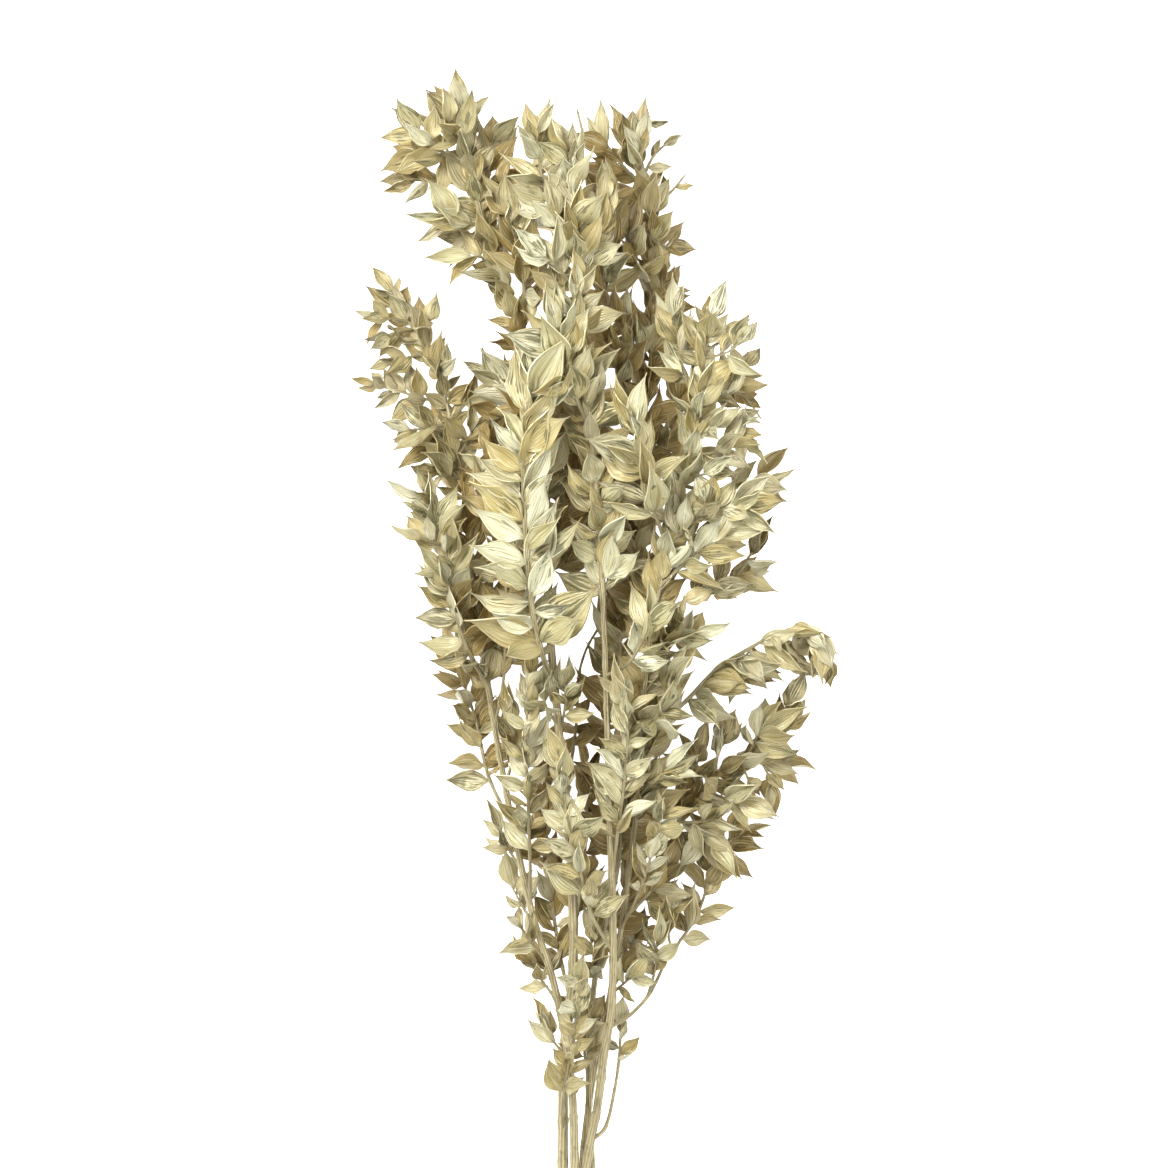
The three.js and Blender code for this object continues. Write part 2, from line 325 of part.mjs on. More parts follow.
    route: [[685, 474, 80], [698, 475, 89], [709, 474, 92]] },
  { name: 'fill_h', on: 'main', radii: [0.9, 0.5], leaves: { from: 0.3, pitch: 5, size: [24, 21] },
    route: [[669, 547, 78], [684, 531, 87], [696, 517, 91]] },
  { name: 'low_j', on: 'low', radii: [0.9, 0.5], leaves: { from: 0.3, pitch: 5, size: [22, 20] },
    route: [[761, 760, 21], [768, 775, 29], [769, 788, 33]] },
  { name: 'hang', on: 'arch', radii: [0.9, 0.5], leaves: { from: 0.3, pitch: 5, size: [25, 22] },
    route: [[717, 669, 52], [737, 668, 45], [754, 671, 41]] },
  { name: 'hang_b', on: 'arch', radii: [0.9, 0.5], leaves: { from: 0.3, pitch: 5, size: [20, 18] },
    route: [[776, 633, 45], [786, 645, 39], [793, 654, 36]] },
  { name: 'top_f', on: 'main', radii: [0.9, 0.5], leaves: { from: 0.3, pitch: 5, size: [22, 20] },
    route: [[693, 441, 80], [706, 433, 88], [715, 426, 90]] },
  { name: 'top_g', on: 'top_d', radii: [0.9, 0.5], leaves: { from: 0.3, pitch: 5, size: [18, 16] },
    route: [[722, 419, 76], [738, 430, 81], [747, 438, 82]] },
];

const CANES = {
  left_cane: LEFT_CANE,
  thick_cane: THICK_CANE,
  centre_cane: CENTRE_CANE,
  inner_cane: INNER_CANE,
  right_cane: RIGHT_CANE,
};

const CANE_LOOKS = {
  left_cane: { color: 0xc9bd8c, roughness: 0.5, metalness: 0.35 },
  thick_cane: { color: 0xd2c799, roughness: 0.48, metalness: 0.35 },
  centre_cane: { color: 0xcdc190, roughness: 0.5, metalness: 0.35 },
  inner_cane: { color: 0xb3a673, roughness: 0.55, metalness: 0.3 },
  right_cane: { color: 0xc4b785, roughness: 0.5, metalness: 0.35 },
};

const UP = new THREE.Vector3(0, 0, 1);
const SAME_POINT = 1e-3; // points closer than this are one point

// A number from 0 to 1 that depends only on its keys, so a leaf stays the same whatever grows before it.
function chance(...keys) {
  let mixed = 0x9e3779b9;
  for (const key of keys) {
    mixed = Math.imul(mixed ^ (key + 1), 0x85ebca6b);
    mixed ^= mixed >>> 13;
    mixed = Math.imul(mixed, 0xc2b2ae35);
    mixed ^= mixed >>> 16;
  }
  return (mixed >>> 0) / 4294967296;
}

const around = (value) => 2 * value - 1;
const blend = (from, to, share) => from + (to - from) * share;

function solidOf(geometry) {
  geometry.deleteAttribute('normal');
  geometry.deleteAttribute('uv');
  const merged = mergeVertices(geometry, SAME_POINT);
  return new Manifold(new Mesh({
    numProp: 3,
    vertProperties: merged.attributes.position.array,
    triVerts: new Uint32Array(merged.index.array),
  }));
}

// The place in millimetres of a point that is given on the plan grid.
function placeOf([column, row, height]) {
  const step = GRID.step * (GRID.eye + GRID.level - height) / GRID.eye;
  const x = GRID.x + (column - GRID.column) * step;
  const y = GRID.y - (row - GRID.row) * step;
  return new THREE.Vector3(x, y, height);
}

// The stem's axis. A side shoot's first point is moved onto the axis of the stem that it grows from.
function axisOf(stem, parent) {
  const points = stem.route.map(placeOf);
  if (parent) {
    const spots = parent.axis.getSpacedPoints(AXIS_SPOTS);
    const nearest = spots.reduce((a, b) => (b.distanceTo(points[0]) < a.distanceTo(points[0]) ? b : a));
    points[0].copy(nearest);
  }
  return new THREE.CatmullRomCurve3(points, false, 'catmullrom', AXIS_TENSION);
}

// A few-sided tube along the axis: extruded at unit radius, then every ring is drawn to its own radius.
function stemSolid(stem) {
  const thick = stem.radii[0] >= THICK_SHOOT;
  const sides = thick ? CANE_SIDES : SHOOT_SIDES;
  const steps = Math.max(2, Math.round(stem.axis.getLength() / (thick ? CANE_STEP : SHOOT_STEP)));
  const corners = [];
  for (let i = 0; i < sides; i++) {
    const angle = (i / sides) * 2 * Math.PI;
    corners.push(new THREE.Vector2(Math.cos(angle), Math.sin(angle)));
  }
  const tube = new THREE.ExtrudeGeometry(new THREE.Shape(corners), { steps, extrudePath: stem.axis });
  const centres = stem.axis.getSpacedPoints(steps);
  const place = tube.attributes.position;
  const vertex = new THREE.Vector3();
  for (let i = 0; i < place.count; i++) {
    vertex.fromBufferAttribute(place, i);
    const ring = nearestIndex(centres, vertex);
    const radius = blend(...stem.radii, ring / steps);
    vertex.sub(centres[ring]).multiplyScalar(radius).add(centres[ring]);
    place.setXYZ(i, vertex.x, vertex.y, vertex.z);
  }
  return solidOf(tube);
}

function nearestIndex(points, target) {
  let best = 0;
  points.forEach((point, i) => {
    if (point.distanceToSquared(target) < points[best].distanceToSquared(target)) best = i;
  });
  return best;
}

// Tries step away from the first place to both sides in turn: 0, 1, -1, 2, -2 and so on.
const stepAside = (attempt) => Math.ceil(attempt / 2) * (attempt % 2 ? 1 : -1);

// How a leaf with this root and midrib lies: which way it faces, how it bends, and how it meets the surface.
function setLeaf({ root, direction, length, width, sweep, rests }, key) {
  const tilt = [key(DRAW.faceX), key(DRAW.faceY), key(DRAW.faceZ)].map(around);
  const facing = new THREE.Vector3(...tilt).multiplyScalar(FACE_TILT).add(UP);
  facing.addScaledVector(direction, -facing.dot(direction)).normalize();
  const across = direction.clone().cross(facing);
  const bend = facing.clone().multiplyScalar(CURL * around(key(DRAW.curl)) * length).add(sweep);
  const tipHeight = root.z + direction.z * length + bend.z;
  if (rests || tipHeight < 0) bend.z -= tipHeight; // the tip lies on the surface
  return { root, direction, across, facing, bend, length, width };
}

// One way to set leaf number `index` of a stem, counted down from its tip. Where the leaves reach the very
// tip, the topmost one carries the stem on.
function leafPose(stem, index, count, attempt) {
  const key = (item) => chance(stem.seed, index, item);
  const { from, to = 1, size, side } = stem.leaves;
  const topmost = index === 0 && to === 1;
  const strayed = PLACE_RANGE * around(key(DRAW.place));
  const along = index === 0 ? 1 : 1 - (index + strayed) / count;
  const share = Math.min(blend(from, to, along), 1 - ROOT_DEPTH / stem.axis.getLength());
  const root = stem.axis.getPointAt(share);
  const forward = stem.axis.getTangentAt(share);
  const above = UP.clone().addScaledVector(forward, -forward.dot(UP)).normalize();
  const beside = forward.clone().cross(above);

  const shift = stepAside(attempt);
  const turn = index * GOLDEN_ANGLE + stem.seed + TURN_RANGE * around(key(DRAW.turn)) + shift * TRY_TURN;
  const lean = turn - FLATTEN * Math.sin(2 * turn);
  const sideways = side ? side * Math.abs(Math.cos(lean)) : Math.cos(lean);
  const opened = SPREAD_RANGE * around(key(DRAW.spread)) + shift * TRY_SPREAD;
  const spread = (topmost ? TOP_SPREAD : blend(...SPREAD, along)) + opened;
  const out = beside.multiplyScalar(sideways).addScaledVector(above, Math.sin(lean));
  const direction = forward.clone().multiplyScalar(Math.cos(spread)).addScaledVector(out, Math.sin(spread));
  const length = blend(...size, along) * blend(...LENGTH_RANGE, key(DRAW.length));
  const width = length * LEAF_WIDTH * blend(...WIDTH_RANGE, key(DRAW.width));
  const sweep = forward.multiplyScalar(blend(...SWEEP, key(DRAW.sweep)) * length);
  const rests = topmost && root.z < REST_HEIGHT;
  return setLeaf({ root, direction, length, width, sweep, rests }, key);
}

// The blade: it widens from a point on the stem's axis to its shoulder and draws in past the flank to a tip.
function leafSolid(pose) {
  const midrib = (share) => pose.root.clone()
    .addScaledVector(pose.direction, share * pose.length)
    .addScaledVector(pose.bend, share * share);
  const halfWidth = pose.width / 2;
  const points = [midrib(0)];
  for (const [share, half] of [[SHOULDER, halfWidth], [FLANK, halfWidth * FLANK_WIDTH]]) {
    for (const [sideways, up] of [[-half, KEEL / 2], [0, -KEEL / 2], [half, KEEL / 2]]) {
      points.push(midrib(share).addScaledVector(pose.across, sideways).addScaledVector(pose.facing, up));
    }
  }
  points.push(midrib(1));
  const [root, shoulder, flank, tip] = [0, 1, 4, 7];
  const faces = [];
  for (let side = 0; side < 3; side++) {
    const next = (side + 1) % 3;
    faces.push(root, shoulder + side, shoulder + next);
    faces.push(shoulder + side, flank + side, shoulder + next);
    faces.push(shoulder + next, flank + side, flank + next);
    faces.push(flank + side, tip, flank + next);
  }
  const solid = new Manifold(new Mesh({
    numProp: 3,
    vertProperties: new Float32Array(points.flatMap((point) => point.toArray())),
    triVerts: new Uint32Array(faces),
  }));
  return { solid, lowest: Math.min(...points.map((point) => point.z)) };
}

function pieceOf(cane, stem, solid) {
  const { min, max } = solid.boundingBox();
  return { cane, stem, solid, box: new THREE.Box3(new THREE.Vector3(...min), new THREE.Vector3(...max)) };
}

// True where the leaf keeps clear of all that is not its own stem.
function isClear(leaf, pieces) {
  const reach = leaf.box.clone().expandByScalar(CLEARANCE);
  return pieces.every((other) => {
    if (other.solid === leaf.stem.solid || !reach.intersectsBox(other.box)) return true;
    const gap = other.cane === leaf.cane ? OWN_CLEARANCE : CLEARANCE;
    return leaf.solid.minGap(other.solid, GAP_SEARCH) >= gap;
  });
}

// Leaf number `index` at the first try that keeps clear of the other pieces and of the surface, or no leaf.
function growLeaf(cane, stem, index, count, pieces) {
  for (let attempt = 0; attempt < TRIES; attempt++) {
    const { solid, lowest } = leafSolid(leafPose(stem, index, count, attempt));
    const leaf = pieceOf(cane, stem, solid);
    if (lowest > -TOUCH && isClear(leaf, pieces)) {
      pieces.push(leaf);
      return;
    }
  }
}

const leafCount = (stem) => {
  const { from, to = 1, pitch } = stem.leaves;
  return Math.round(stem.axis.getLength() * (to - from) * CROWDING / pitch);
};

// The largest body of a solid, without loose scraps and without the skin of a closed hollow.
function mainBody(solid) {
  return solid.decompose().reduce((a, b) => (b.volume() > a.volume() ? b : a));
}

// Joined twice over, because points that fall together when they are merged can cut a sliver loose.
function fuse(solids) {
  const joined = mainBody(Manifold.union(solids));
  return mainBody(solidOf(geometryOf(joined)));
}

function geometryOf(solid) {
  const { vertProperties, triVerts } = solid.getMesh();
  return new THREE.BufferGeometry()
    .setAttribute('position', new THREE.BufferAttribute(vertProperties, 3))
    .setIndex(new THREE.BufferAttribute(triVerts, 1));
}

function buildStems() {
  const pieces = [];
  Object.entries(CANES).forEach(([cane, list], caneNumber) => {
    const stems = new Map();
    list.forEach((given, stemNumber) => {
      const stem = { ...given, seed: CANE_SEEDS * (caneNumber + 1) + stemNumber };
      stem.axis = axisOf(stem, stems.get(stem.on));
      stem.solid = stemSolid(stem);
      stems.set(stem.name, stem);
      pieces.push(pieceOf(cane, stem, stem.solid));
    });
  });
  return pieces;
}

// The topmost leaves grow first, so that every stem has one.
function growLeaves(stems, pieces) {
  for (const { cane, stem } of stems) growLeaf(cane, stem, 0, leafCount(stem), pieces);
  for (const { cane, stem } of stems) {
    const count = leafCount(stem);
    for (let index = EVERY; index < count; index += EVERY) growLeaf(cane, stem, index, count, pieces);
  }
}

function buildCanes() {
  const pieces = buildStems();
  growLeaves([...pieces], pieces);
  return Object.keys(CANES).map((cane) => {
    const solids = pieces.filter((piece) => piece.cane === cane).map((piece) => piece.solid);
    const look = new THREE.MeshStandardMaterial({ ...CANE_LOOKS[cane], flatShading: true });
    const mesh = new THREE.Mesh(geometryOf(fuse(solids)), look);
    mesh.name = cane;
    return mesh;
  });
}

function roundedOutline(path, halfWidth, halfHeight, corner) {
  path.moveTo(halfWidth, corner - halfHeight);
  path.lineTo(halfWidth, halfHeight - corner);
  path.absarc(halfWidth - corner, halfHeight - corner, corner, 0, Math.PI / 2);
  path.absarc(corner - halfWidth, halfHeight - corner, corner, Math.PI / 2, Math.PI);
  path.absarc(corner - halfWidth, corner - halfHeight, corner, Math.PI, 1.5 * Math.PI);
  path.absarc(halfWidth - corner, corner - halfHeight, corner, 1.5 * Math.PI, 2 * Math.PI);
  return path;
}

function buildTie() {
  const { x, y, z, halfWidth, halfHeight, corner, wall, length } = TIE;
  const outline = roundedOutline(new THREE.Shape(), halfWidth + wall, halfHeight + wall, corner + wall);
  outline.holes.push(roundedOutline(new THREE.Path(), halfWidth, halfHeight, corner));
  const ring = new THREE.ExtrudeGeometry(outline, { depth: length, bevelEnabled: false, curveSegments: 3 });
  const twine = new THREE.MeshStandardMaterial({ color: 0xb09a6a, roughness: 0.9, metalness: 0 });
  const mesh = new THREE.Mesh(ring, twine);
  mesh.name = 'tie';
  mesh.rotation.x = Math.PI / 2;
  mesh.position.set(x, y + length / 2, z);
  return mesh;
}

const bunch = new THREE.Group();
bunch.name = 'dried_ruscus_bunch';
bunch.add(...buildCanes(), buildTie());

// The origin is under the middle of the bunch, on the surface.
const extent = new THREE.Box3().setFromObject(bunch);
bunch.position.set(-(extent.min.x + extent.max.x) / 2, -(extent.min.y + extent.max.y) / 2, -extent.min.z);

export default bunch;
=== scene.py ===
"""Dried ruscus: a bunch of five gold-painted leafy canes, bound with twine near the cut ends.

The bunch lies on the surface with +Y from the cut ends to the tips and +Z up. The frame holds the canes as
plain solids with some of their leaves. Here each cane gets its ridged bark, the scales at its nodes and all
of its leaves: a leaf that the frame holds grows from the same root to the same tip, and the rest fill in
between by the same rule. Lengths below are in millimetres until a mesh is placed.
"""

import logging
import math
from collections.abc import Callable, Iterable
from dataclasses import dataclass, field, replace
from enum import Enum, IntEnum
from typing import ClassVar

import bpy
import numpy as np
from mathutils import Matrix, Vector
from mathutils.kdtree import KDTree


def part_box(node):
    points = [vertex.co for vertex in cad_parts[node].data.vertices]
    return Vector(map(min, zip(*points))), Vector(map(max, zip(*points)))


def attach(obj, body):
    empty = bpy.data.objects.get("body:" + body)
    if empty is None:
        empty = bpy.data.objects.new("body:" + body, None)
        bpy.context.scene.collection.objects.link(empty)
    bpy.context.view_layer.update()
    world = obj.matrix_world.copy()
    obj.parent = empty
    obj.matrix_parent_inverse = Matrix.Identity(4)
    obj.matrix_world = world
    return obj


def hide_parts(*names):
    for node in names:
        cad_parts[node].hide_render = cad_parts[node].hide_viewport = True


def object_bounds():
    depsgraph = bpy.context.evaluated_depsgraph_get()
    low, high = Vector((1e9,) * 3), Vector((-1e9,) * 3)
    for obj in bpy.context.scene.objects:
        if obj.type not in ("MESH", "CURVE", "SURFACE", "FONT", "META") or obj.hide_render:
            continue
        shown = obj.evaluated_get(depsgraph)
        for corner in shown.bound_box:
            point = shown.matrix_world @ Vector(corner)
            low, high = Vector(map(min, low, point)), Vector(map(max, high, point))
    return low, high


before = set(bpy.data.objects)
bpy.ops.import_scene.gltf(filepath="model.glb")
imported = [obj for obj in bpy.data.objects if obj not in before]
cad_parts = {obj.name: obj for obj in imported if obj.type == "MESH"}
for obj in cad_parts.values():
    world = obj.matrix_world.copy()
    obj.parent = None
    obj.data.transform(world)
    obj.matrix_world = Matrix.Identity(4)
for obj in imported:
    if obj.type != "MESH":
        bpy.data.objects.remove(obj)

LOG = logging.getLogger("ruscus")
MM = 0.001
WORD = 0xFFFFFFFF
WHITE = (1.0, 1.0, 1.0, 1.0)
UP = np.array([0.0, 0.0, 1.0])
CAD_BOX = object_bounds()

# The rule by which leaves are set on a stem, as the frame's solids follow it
GOLDEN_ANGLE = 2.39996
FLATTEN = 0.35
SPREAD = (0.95, 0.5)
SPREAD_RANGE = 0.38
TOP_SPREAD = 0.1
ROOT_DEPTH = 2.0
TURN_RANGE = 0.55
LEAF_WIDTH = 0.47
CROWDING = 1.5
LENGTH_RANGE = (0.8, 1.24)
WIDTH_RANGE = (0.85, 1.15)
PLACE_RANGE = 0.3
SWEEP = (0.04, 0.16)
FACE_TILT = 0.7
CURL = 0.16
TRIES = 9
TRY_TURN = 0.42
TRY_SPREAD = 0.09
REST_HEIGHT = 13.0
AXIS_SPOTS = 400
AXIS_TENSION = 0.5
ARC_STEPS = 200
CANE_SEEDS = 100

# The plan grid that the stems are drawn on, as seen from an eye over its middle
GRID_STEP = 0.6
GRID_LEVEL = 50.0
GRID_EYE = 3200.0
GRID_MIDDLE = (584.0, 584.0)
GRID_PLACE = (4.8, 410.4)

# How far the finer leaves depart from that rule
LOOSE_SPREAD = 0.45
LOOSE_TURN = 0.8
LOOSE_LENGTH = (0.86, 1.16)
HANGING_ASIDE = 0.8
HANGING_SPREAD = 0.35
BASE_TURN = 1.2
ROLL = 0.7
TURNED_OVER = (0.14, 0.6)
FLOOR_GAP = 0.05

Pair = tuple[float, float]
Point = tuple[float, float, float]
Model = bpy.types.Object
Array = np.ndarray


class Draw(IntEnum):
    """What each seeded number decides about a leaf, a scale or the bark."""

    PLACE = 0
    SPREAD = 1
    FACE_X = 2
    FACE_Y = 3
    FACE_Z = 4
    LENGTH = 5
    CURL = 6
    SWEEP = 7
    WIDTH = 8
    TURN = 9
    FORM = 20
    TONE = 21
    STREAK = 22
    TWIST = 23
    ROLL = 24
    TURN_OVER = 25
    LOOSE_SPREAD = 26
    LOOSE_TURN = 27
    LOOSE_LENGTH = 28
    SCALE = 30
    BARK = 40


def chance(*keys: int) -> float:
    """A number from 0 to 1 that depends only on its keys, so every run draws the same.

    Args:
        keys: The seed of a stem, the number of a leaf and what the number decides.

    Returns:
        The number.
    """
    mixed = 0x9E3779B9
    for key in keys:
        mixed = ((mixed ^ (key + 1)) * 0x85EBCA6B) & WORD
        mixed ^= mixed >> 13
        mixed = (mixed * 0xC2B2AE35) & WORD
        mixed ^= mixed >> 16
    return mixed / (WORD + 1)


def swing(*keys: int) -> float:
    """The same number, from -1 to 1."""
    return 2 * chance(*keys) - 1


def blend(low: float, high: float, share: float) -> float:
    """The value a share of the way from low to high."""
    return low + (high - low) * share


def unit(vector: Array) -> Array:
    """The vector at length 1."""
    return vector / np.linalg.norm(vector)


def step_aside(attempt: int) -> int:
    """The attempts step away from the first place to both sides in turn: 0, 1, -1, 2, -2 and so on."""
    return math.ceil(attempt / 2) * (1 if attempt % 2 else -1)


# ---------------------------------------------------------------- stems and where leaves grow on them


@dataclass(frozen=True)
class Stem:
    """A cane's main stem or one of its side shoots. What isn't given is that of a thin twig.

    Attributes:
        name: What the stem is called within its cane.
        sizes: Length of the lowest and of the topmost leaf.
        route: Points on the axis, from foot to tip: column, row and height in millimetres.
        radii: At the foot and at the tip.
        leafy: The shares of the stem between which its leaves grow.
        pitch: Spacing of the nodes along the stem.
        on: The stem that it grows from.
        one_side: Whether all its leaves grow to the right.
    """

    name: str
    sizes: Pair
    route: tuple[Point, ...]
    radii: Pair = (0.9, 0.5)
    leafy: Pair = (0.3, 1)
    pitch: float = 5
    on: str | None = "main"
    one_side: bool = False

    def places(self) -> Array:
        """The points of the route in millimetres."""
        columns, rows, heights = np.array(self.route, float).T
        step = GRID_STEP * (GRID_EYE + GRID_LEVEL - heights) / GRID_EYE
        x = GRID_PLACE[0] + (columns - GRID_MIDDLE[0]) * step
        y = GRID_PLACE[1] - (rows - GRID_MIDDLE[1]) * step
        return np.column_stack([x, y, heights])


class Axis:
    """The smooth line along the middle of a stem."""

    def __init__(self, points: Array) -> None:
        """Measures the line through the points, one row of x, y and z for each."""
        self.points = points
        self._places = np.linspace(0, 1, ARC_STEPS + 1)
        chords = np.linalg.norm(np.diff(self._curve(self._places), axis=0), axis=1)
        self._reached = np.concatenate([[0.0], np.cumsum(chords)])
        self.length = float(self._reached[-1])

    def _curve(self, places: Array) -> Array:
        """Points of the Catmull-Rom curve.

        Args:
            places: From 0 to 1, counted evenly over the route's points.

        Returns:
            One row for each place.
        """
        route = self.points
        last = len(route) - 1
        knots = np.vstack([2 * route[0] - route[1], route, 2 * route[-1] - route[-2]])
        spot = np.clip(places * last, 0, last)
        span = np.minimum(spot.astype(int), last - 1)
        t = (spot - span)[:, None]
        before, start, end, after = (knots[span + i] for i in range(4))
        leave, arrive = AXIS_TENSION * (end - before), AXIS_TENSION * (after - start)
        cubic = 2 * start - 2 * end + leave + arrive
        square = -3 * start + 3 * end - 2 * leave - arrive
        return start + leave * t + square * t**2 + cubic * t**3

    def _mapped(self, shares: Array) -> Array:
        """The places on the curve at shares of its length."""
        return np.interp(np.atleast_1d(shares) * self.length, self._reached, self._places)

    def at(self, shares: Array) -> Array:
        """Points at shares of the length."""
        return self._curve(self._mapped(shares))

    def along(self, share: float) -> Array:
        """The unit direction at a share of the length."""
        ends = self._curve(np.clip(self._mapped(share) + [-1e-4, 1e-4], 0, 1))
        return unit(ends[1] - ends[0])


@dataclass
class LeafPose:
    """How a leaf lies: its root on the axis, its midrib and the way that its face looks."""

    root: Array
    direction: Array
    across: Array
    facing: Array
    bend: Array
    length: float
    width: float

    def midrib(self, share: float) -> Array:
        """The point at a share of the leaf's length."""
        return self.root + self.direction * share * self.length + self.bend * share * share

    def outline(self) -> Array:
        """A few points on the blade, to tell how near it comes to others."""
        points = [self.midrib(share) for share in (0.3, 0.5, 0.7, 0.85, 1.0)]
        for share, part in ((0.25, 0.8), (0.4, 1.0), (0.6, 0.75)):
            for side in (-1, 1):
                points.append(self.midrib(share) + self.across * side * part * self.width / 2)
        return np.array(points)


@dataclass
class Leaf:
    """A leaf that has found its place.

    Attributes:
        pose: How it lies.
        keys: The seed of its stem and its number there.
        shade: How far it lies under the others or low down, from 0 to 1: how much painted shade, with thinner
            paint, it takes.
    """

    pose: LeafPose
    keys: tuple[int, int]
    shade: float = 0.0


class GrownStem:
    """A stem in its place, ready to carry leaves."""

    def __init__(self, plan: Stem, seed: int, parent: "GrownStem | None") -> None:
        """Lays the stem's axis, with its foot on the axis of the stem that it grows from.

        Args:
            plan: The stem's sizes and route.
            seed: Its own seed.
            parent: The stem that it grows from, if any.
        """
        points = plan.places()
        if parent is not None:
            spots = parent.axis.at(np.linspace(0, 1, AXIS_SPOTS + 1))
            points[0] = spots[np.argmin(np.linalg.norm(spots - points[0], axis=1))]
        self.plan = plan
        self.seed = seed
        self.axis = Axis(points)
        start, end = plan.leafy
        self.count = max(0, round(self.axis.length * (end - start) * CROWDING / plan.pitch))

    def leaf_pose(self, index: int, attempt: int, loose: bool = False) -> LeafPose:
        """One way to set a leaf by the rule of its kind.

        Args:
            index: The leaf's number, counted down from the tip.
            attempt: Which try this is; later ones turn it round the stem.
            loose: Whether it strays from the rule, as leaves do that the frame leaves out.

        Returns:
            The leaf's pose.
        """
        plan, leaf = self.plan, (self.seed, index)
        topmost = index == 0 and plan.leafy[1] == 1
        along = 1.0 if index == 0 else 1 - (index + PLACE_RANGE * swing(*leaf, Draw.PLACE)) / self.count
        share = min(blend(*plan.leafy, along), 1 - ROOT_DEPTH / self.axis.length)
        root, forward = self.axis.at(share)[0], self.axis.along(share)
        above = unit(UP - forward * forward.dot(UP))
        beside = np.cross(forward, above)

        shift = step_aside(attempt)
        turn = index * GOLDEN_ANGLE + self.seed + TURN_RANGE * swing(*leaf, Draw.TURN) + shift * TRY_TURN
        spread = TOP_SPREAD if topmost else blend(*SPREAD, along)
        spread += SPREAD_RANGE * swing(*leaf, Draw.SPREAD) + shift * TRY_SPREAD
        length = blend(*plan.sizes, along) * blend(*LENGTH_RANGE, chance(*leaf, Draw.LENGTH))
        if loose:
            turn += LOOSE_TURN * swing(*leaf, Draw.LOOSE_TURN)
            spread += LOOSE_SPREAD * swing(*leaf, Draw.LOOSE_SPREAD)
            length *= blend(*LOOSE_LENGTH, chance(*leaf, Draw.LOOSE_LENGTH))
        lean = turn - FLATTEN * math.sin(2 * turn)
        sideways = abs(math.cos(lean)) if plan.one_side else math.cos(lean)
        if plan.one_side and loose:
            sideways, spread = max(sideways, HANGING_ASIDE), spread + HANGING_SPREAD
        out = unit(beside * sideways + above * math.sin(lean))
        direction = forward * math.cos(spread) + out * math.sin(spread)

        tilt = np.array([swing(*leaf, draw) for draw in (Draw.FACE_X, Draw.FACE_Y, Draw.FACE_Z)])
        facing = tilt * FACE_TILT + UP
        facing = unit(facing - direction * facing.dot(direction))
        bend = (facing * CURL * swing(*leaf, Draw.CURL) * length
                + forward * blend(*SWEEP, chance(*leaf, Draw.SWEEP)) * length)
        tip_height = root[2] + direction[2] * length + bend[2]
        if tip_height < 0 or (topmost and root[2] < REST_HEIGHT):
            bend = bend - UP * tip_height
        width = length * LEAF_WIDTH * blend(*WIDTH_RANGE, chance(*leaf, Draw.WIDTH))
        return LeafPose(root, direction, np.cross(direction, facing), facing, bend, length, width)


class Thicket:
    """The room that stems and leaves already take, kept in cells."""

    CELL = 5.0
    NEAR = [(i, j, k) for i in (-1, 0, 1) for j in (-1, 0, 1) for k in (-1, 0, 1)]

    def __init__(self) -> None:
        """Starts with nothing in it."""
        self._cells: dict[tuple[int, int, int], list[Array]] = {}

    def _cell(self, point: Array) -> tuple[int, int, int]:
        """The cell that a point is in."""
        x, y, z = np.floor(point / self.CELL).astype(int)
        return int(x), int(y), int(z)

    def add(self, points: Iterable[Array]) -> None:
        """Takes the room round these points."""
        for point in points:
            self._cells.setdefault(self._cell(point), []).append(point)

    def room(self, points: Array) -> float:
        """How near something comes.

        Args:
            points: Of what looks for room.

        Returns:
            The least distance to anything here, up to the size of a cell.
        """
        nearest = self.CELL
        for point in points:
            x, y, z = self._cell(point)
            near = [other for i, j, k in self.NEAR for other in self._cells.get((x + i, y + j, z + k), ())]
            if near:
                nearest = min(nearest, float(np.linalg.norm(np.array(near) - point, axis=1).min()))
        return nearest


class Solids:
    """The frame's solid canes, asked whether they hold a leaf with a given tip."""

    NEAR = 0.25

    def __init__(self, shift: Array) -> None:
        """Keeps what takes a point of the routes to its place in the frame."""
        self._shift = shift
        self._trees: dict[str, KDTree] = {}

    def _tree(self, node: str) -> KDTree:
        """The corners of one cane, sorted for searching."""
        if node not in self._trees:
            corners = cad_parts[node].data.vertices
            tree = KDTree(len(corners))
            for i, corner in enumerate(corners):
                tree.insert(corner.co / MM, i)
            tree.balance()
            self._trees[node] = tree
        return self._trees[node]

    def hold(self, node: str, tip: Array) -> bool:
        """True where the cane has a corner at the tip."""
        return self._tree(node).find(Vector(tip + self._shift))[2] < self.NEAR


# ---------------------------------------------------------------- meshes


def clear_selection() -> None:
    """Deselects everything, because the frame's nodes come in selected."""
    if bpy.context.object is not None and bpy.context.object.mode != "OBJECT":
        bpy.ops.object.mode_set(mode="OBJECT")
    bpy.ops.object.select_all(action="DESELECT")


def corners_of(mesh: bpy.types.Mesh) -> Array:
    """A mesh's corners, one row each."""
    flat = np.empty(len(mesh.vertices) * 3)
    mesh.vertices.foreach_get("co", flat)
    return flat.reshape(-1, 3)


def set_corners(mesh: bpy.types.Mesh, corners: Array) -> None:
    """Moves a mesh's corners."""
    mesh.vertices.foreach_set("co", np.ascontiguousarray(corners, dtype=np.float64).ravel())
    mesh.update()


def copy_to(blank: Model, corners: Array) -> Model:
    """Copies a blank to its place, no lower than the surface.

    Args:
        blank: The object as modelled.
        corners: Where its corners go, in millimetres.

    Returns:
        The copy, with its own mesh.
    """
    copy = blank.copy()
    copy.data = blank.data.copy()
    bpy.context.collection.objects.link(copy)
    corners[:, 2] = np.maximum(corners[:, 2], FLOOR_GAP)
    set_corners(copy.data, corners * MM)
    return copy


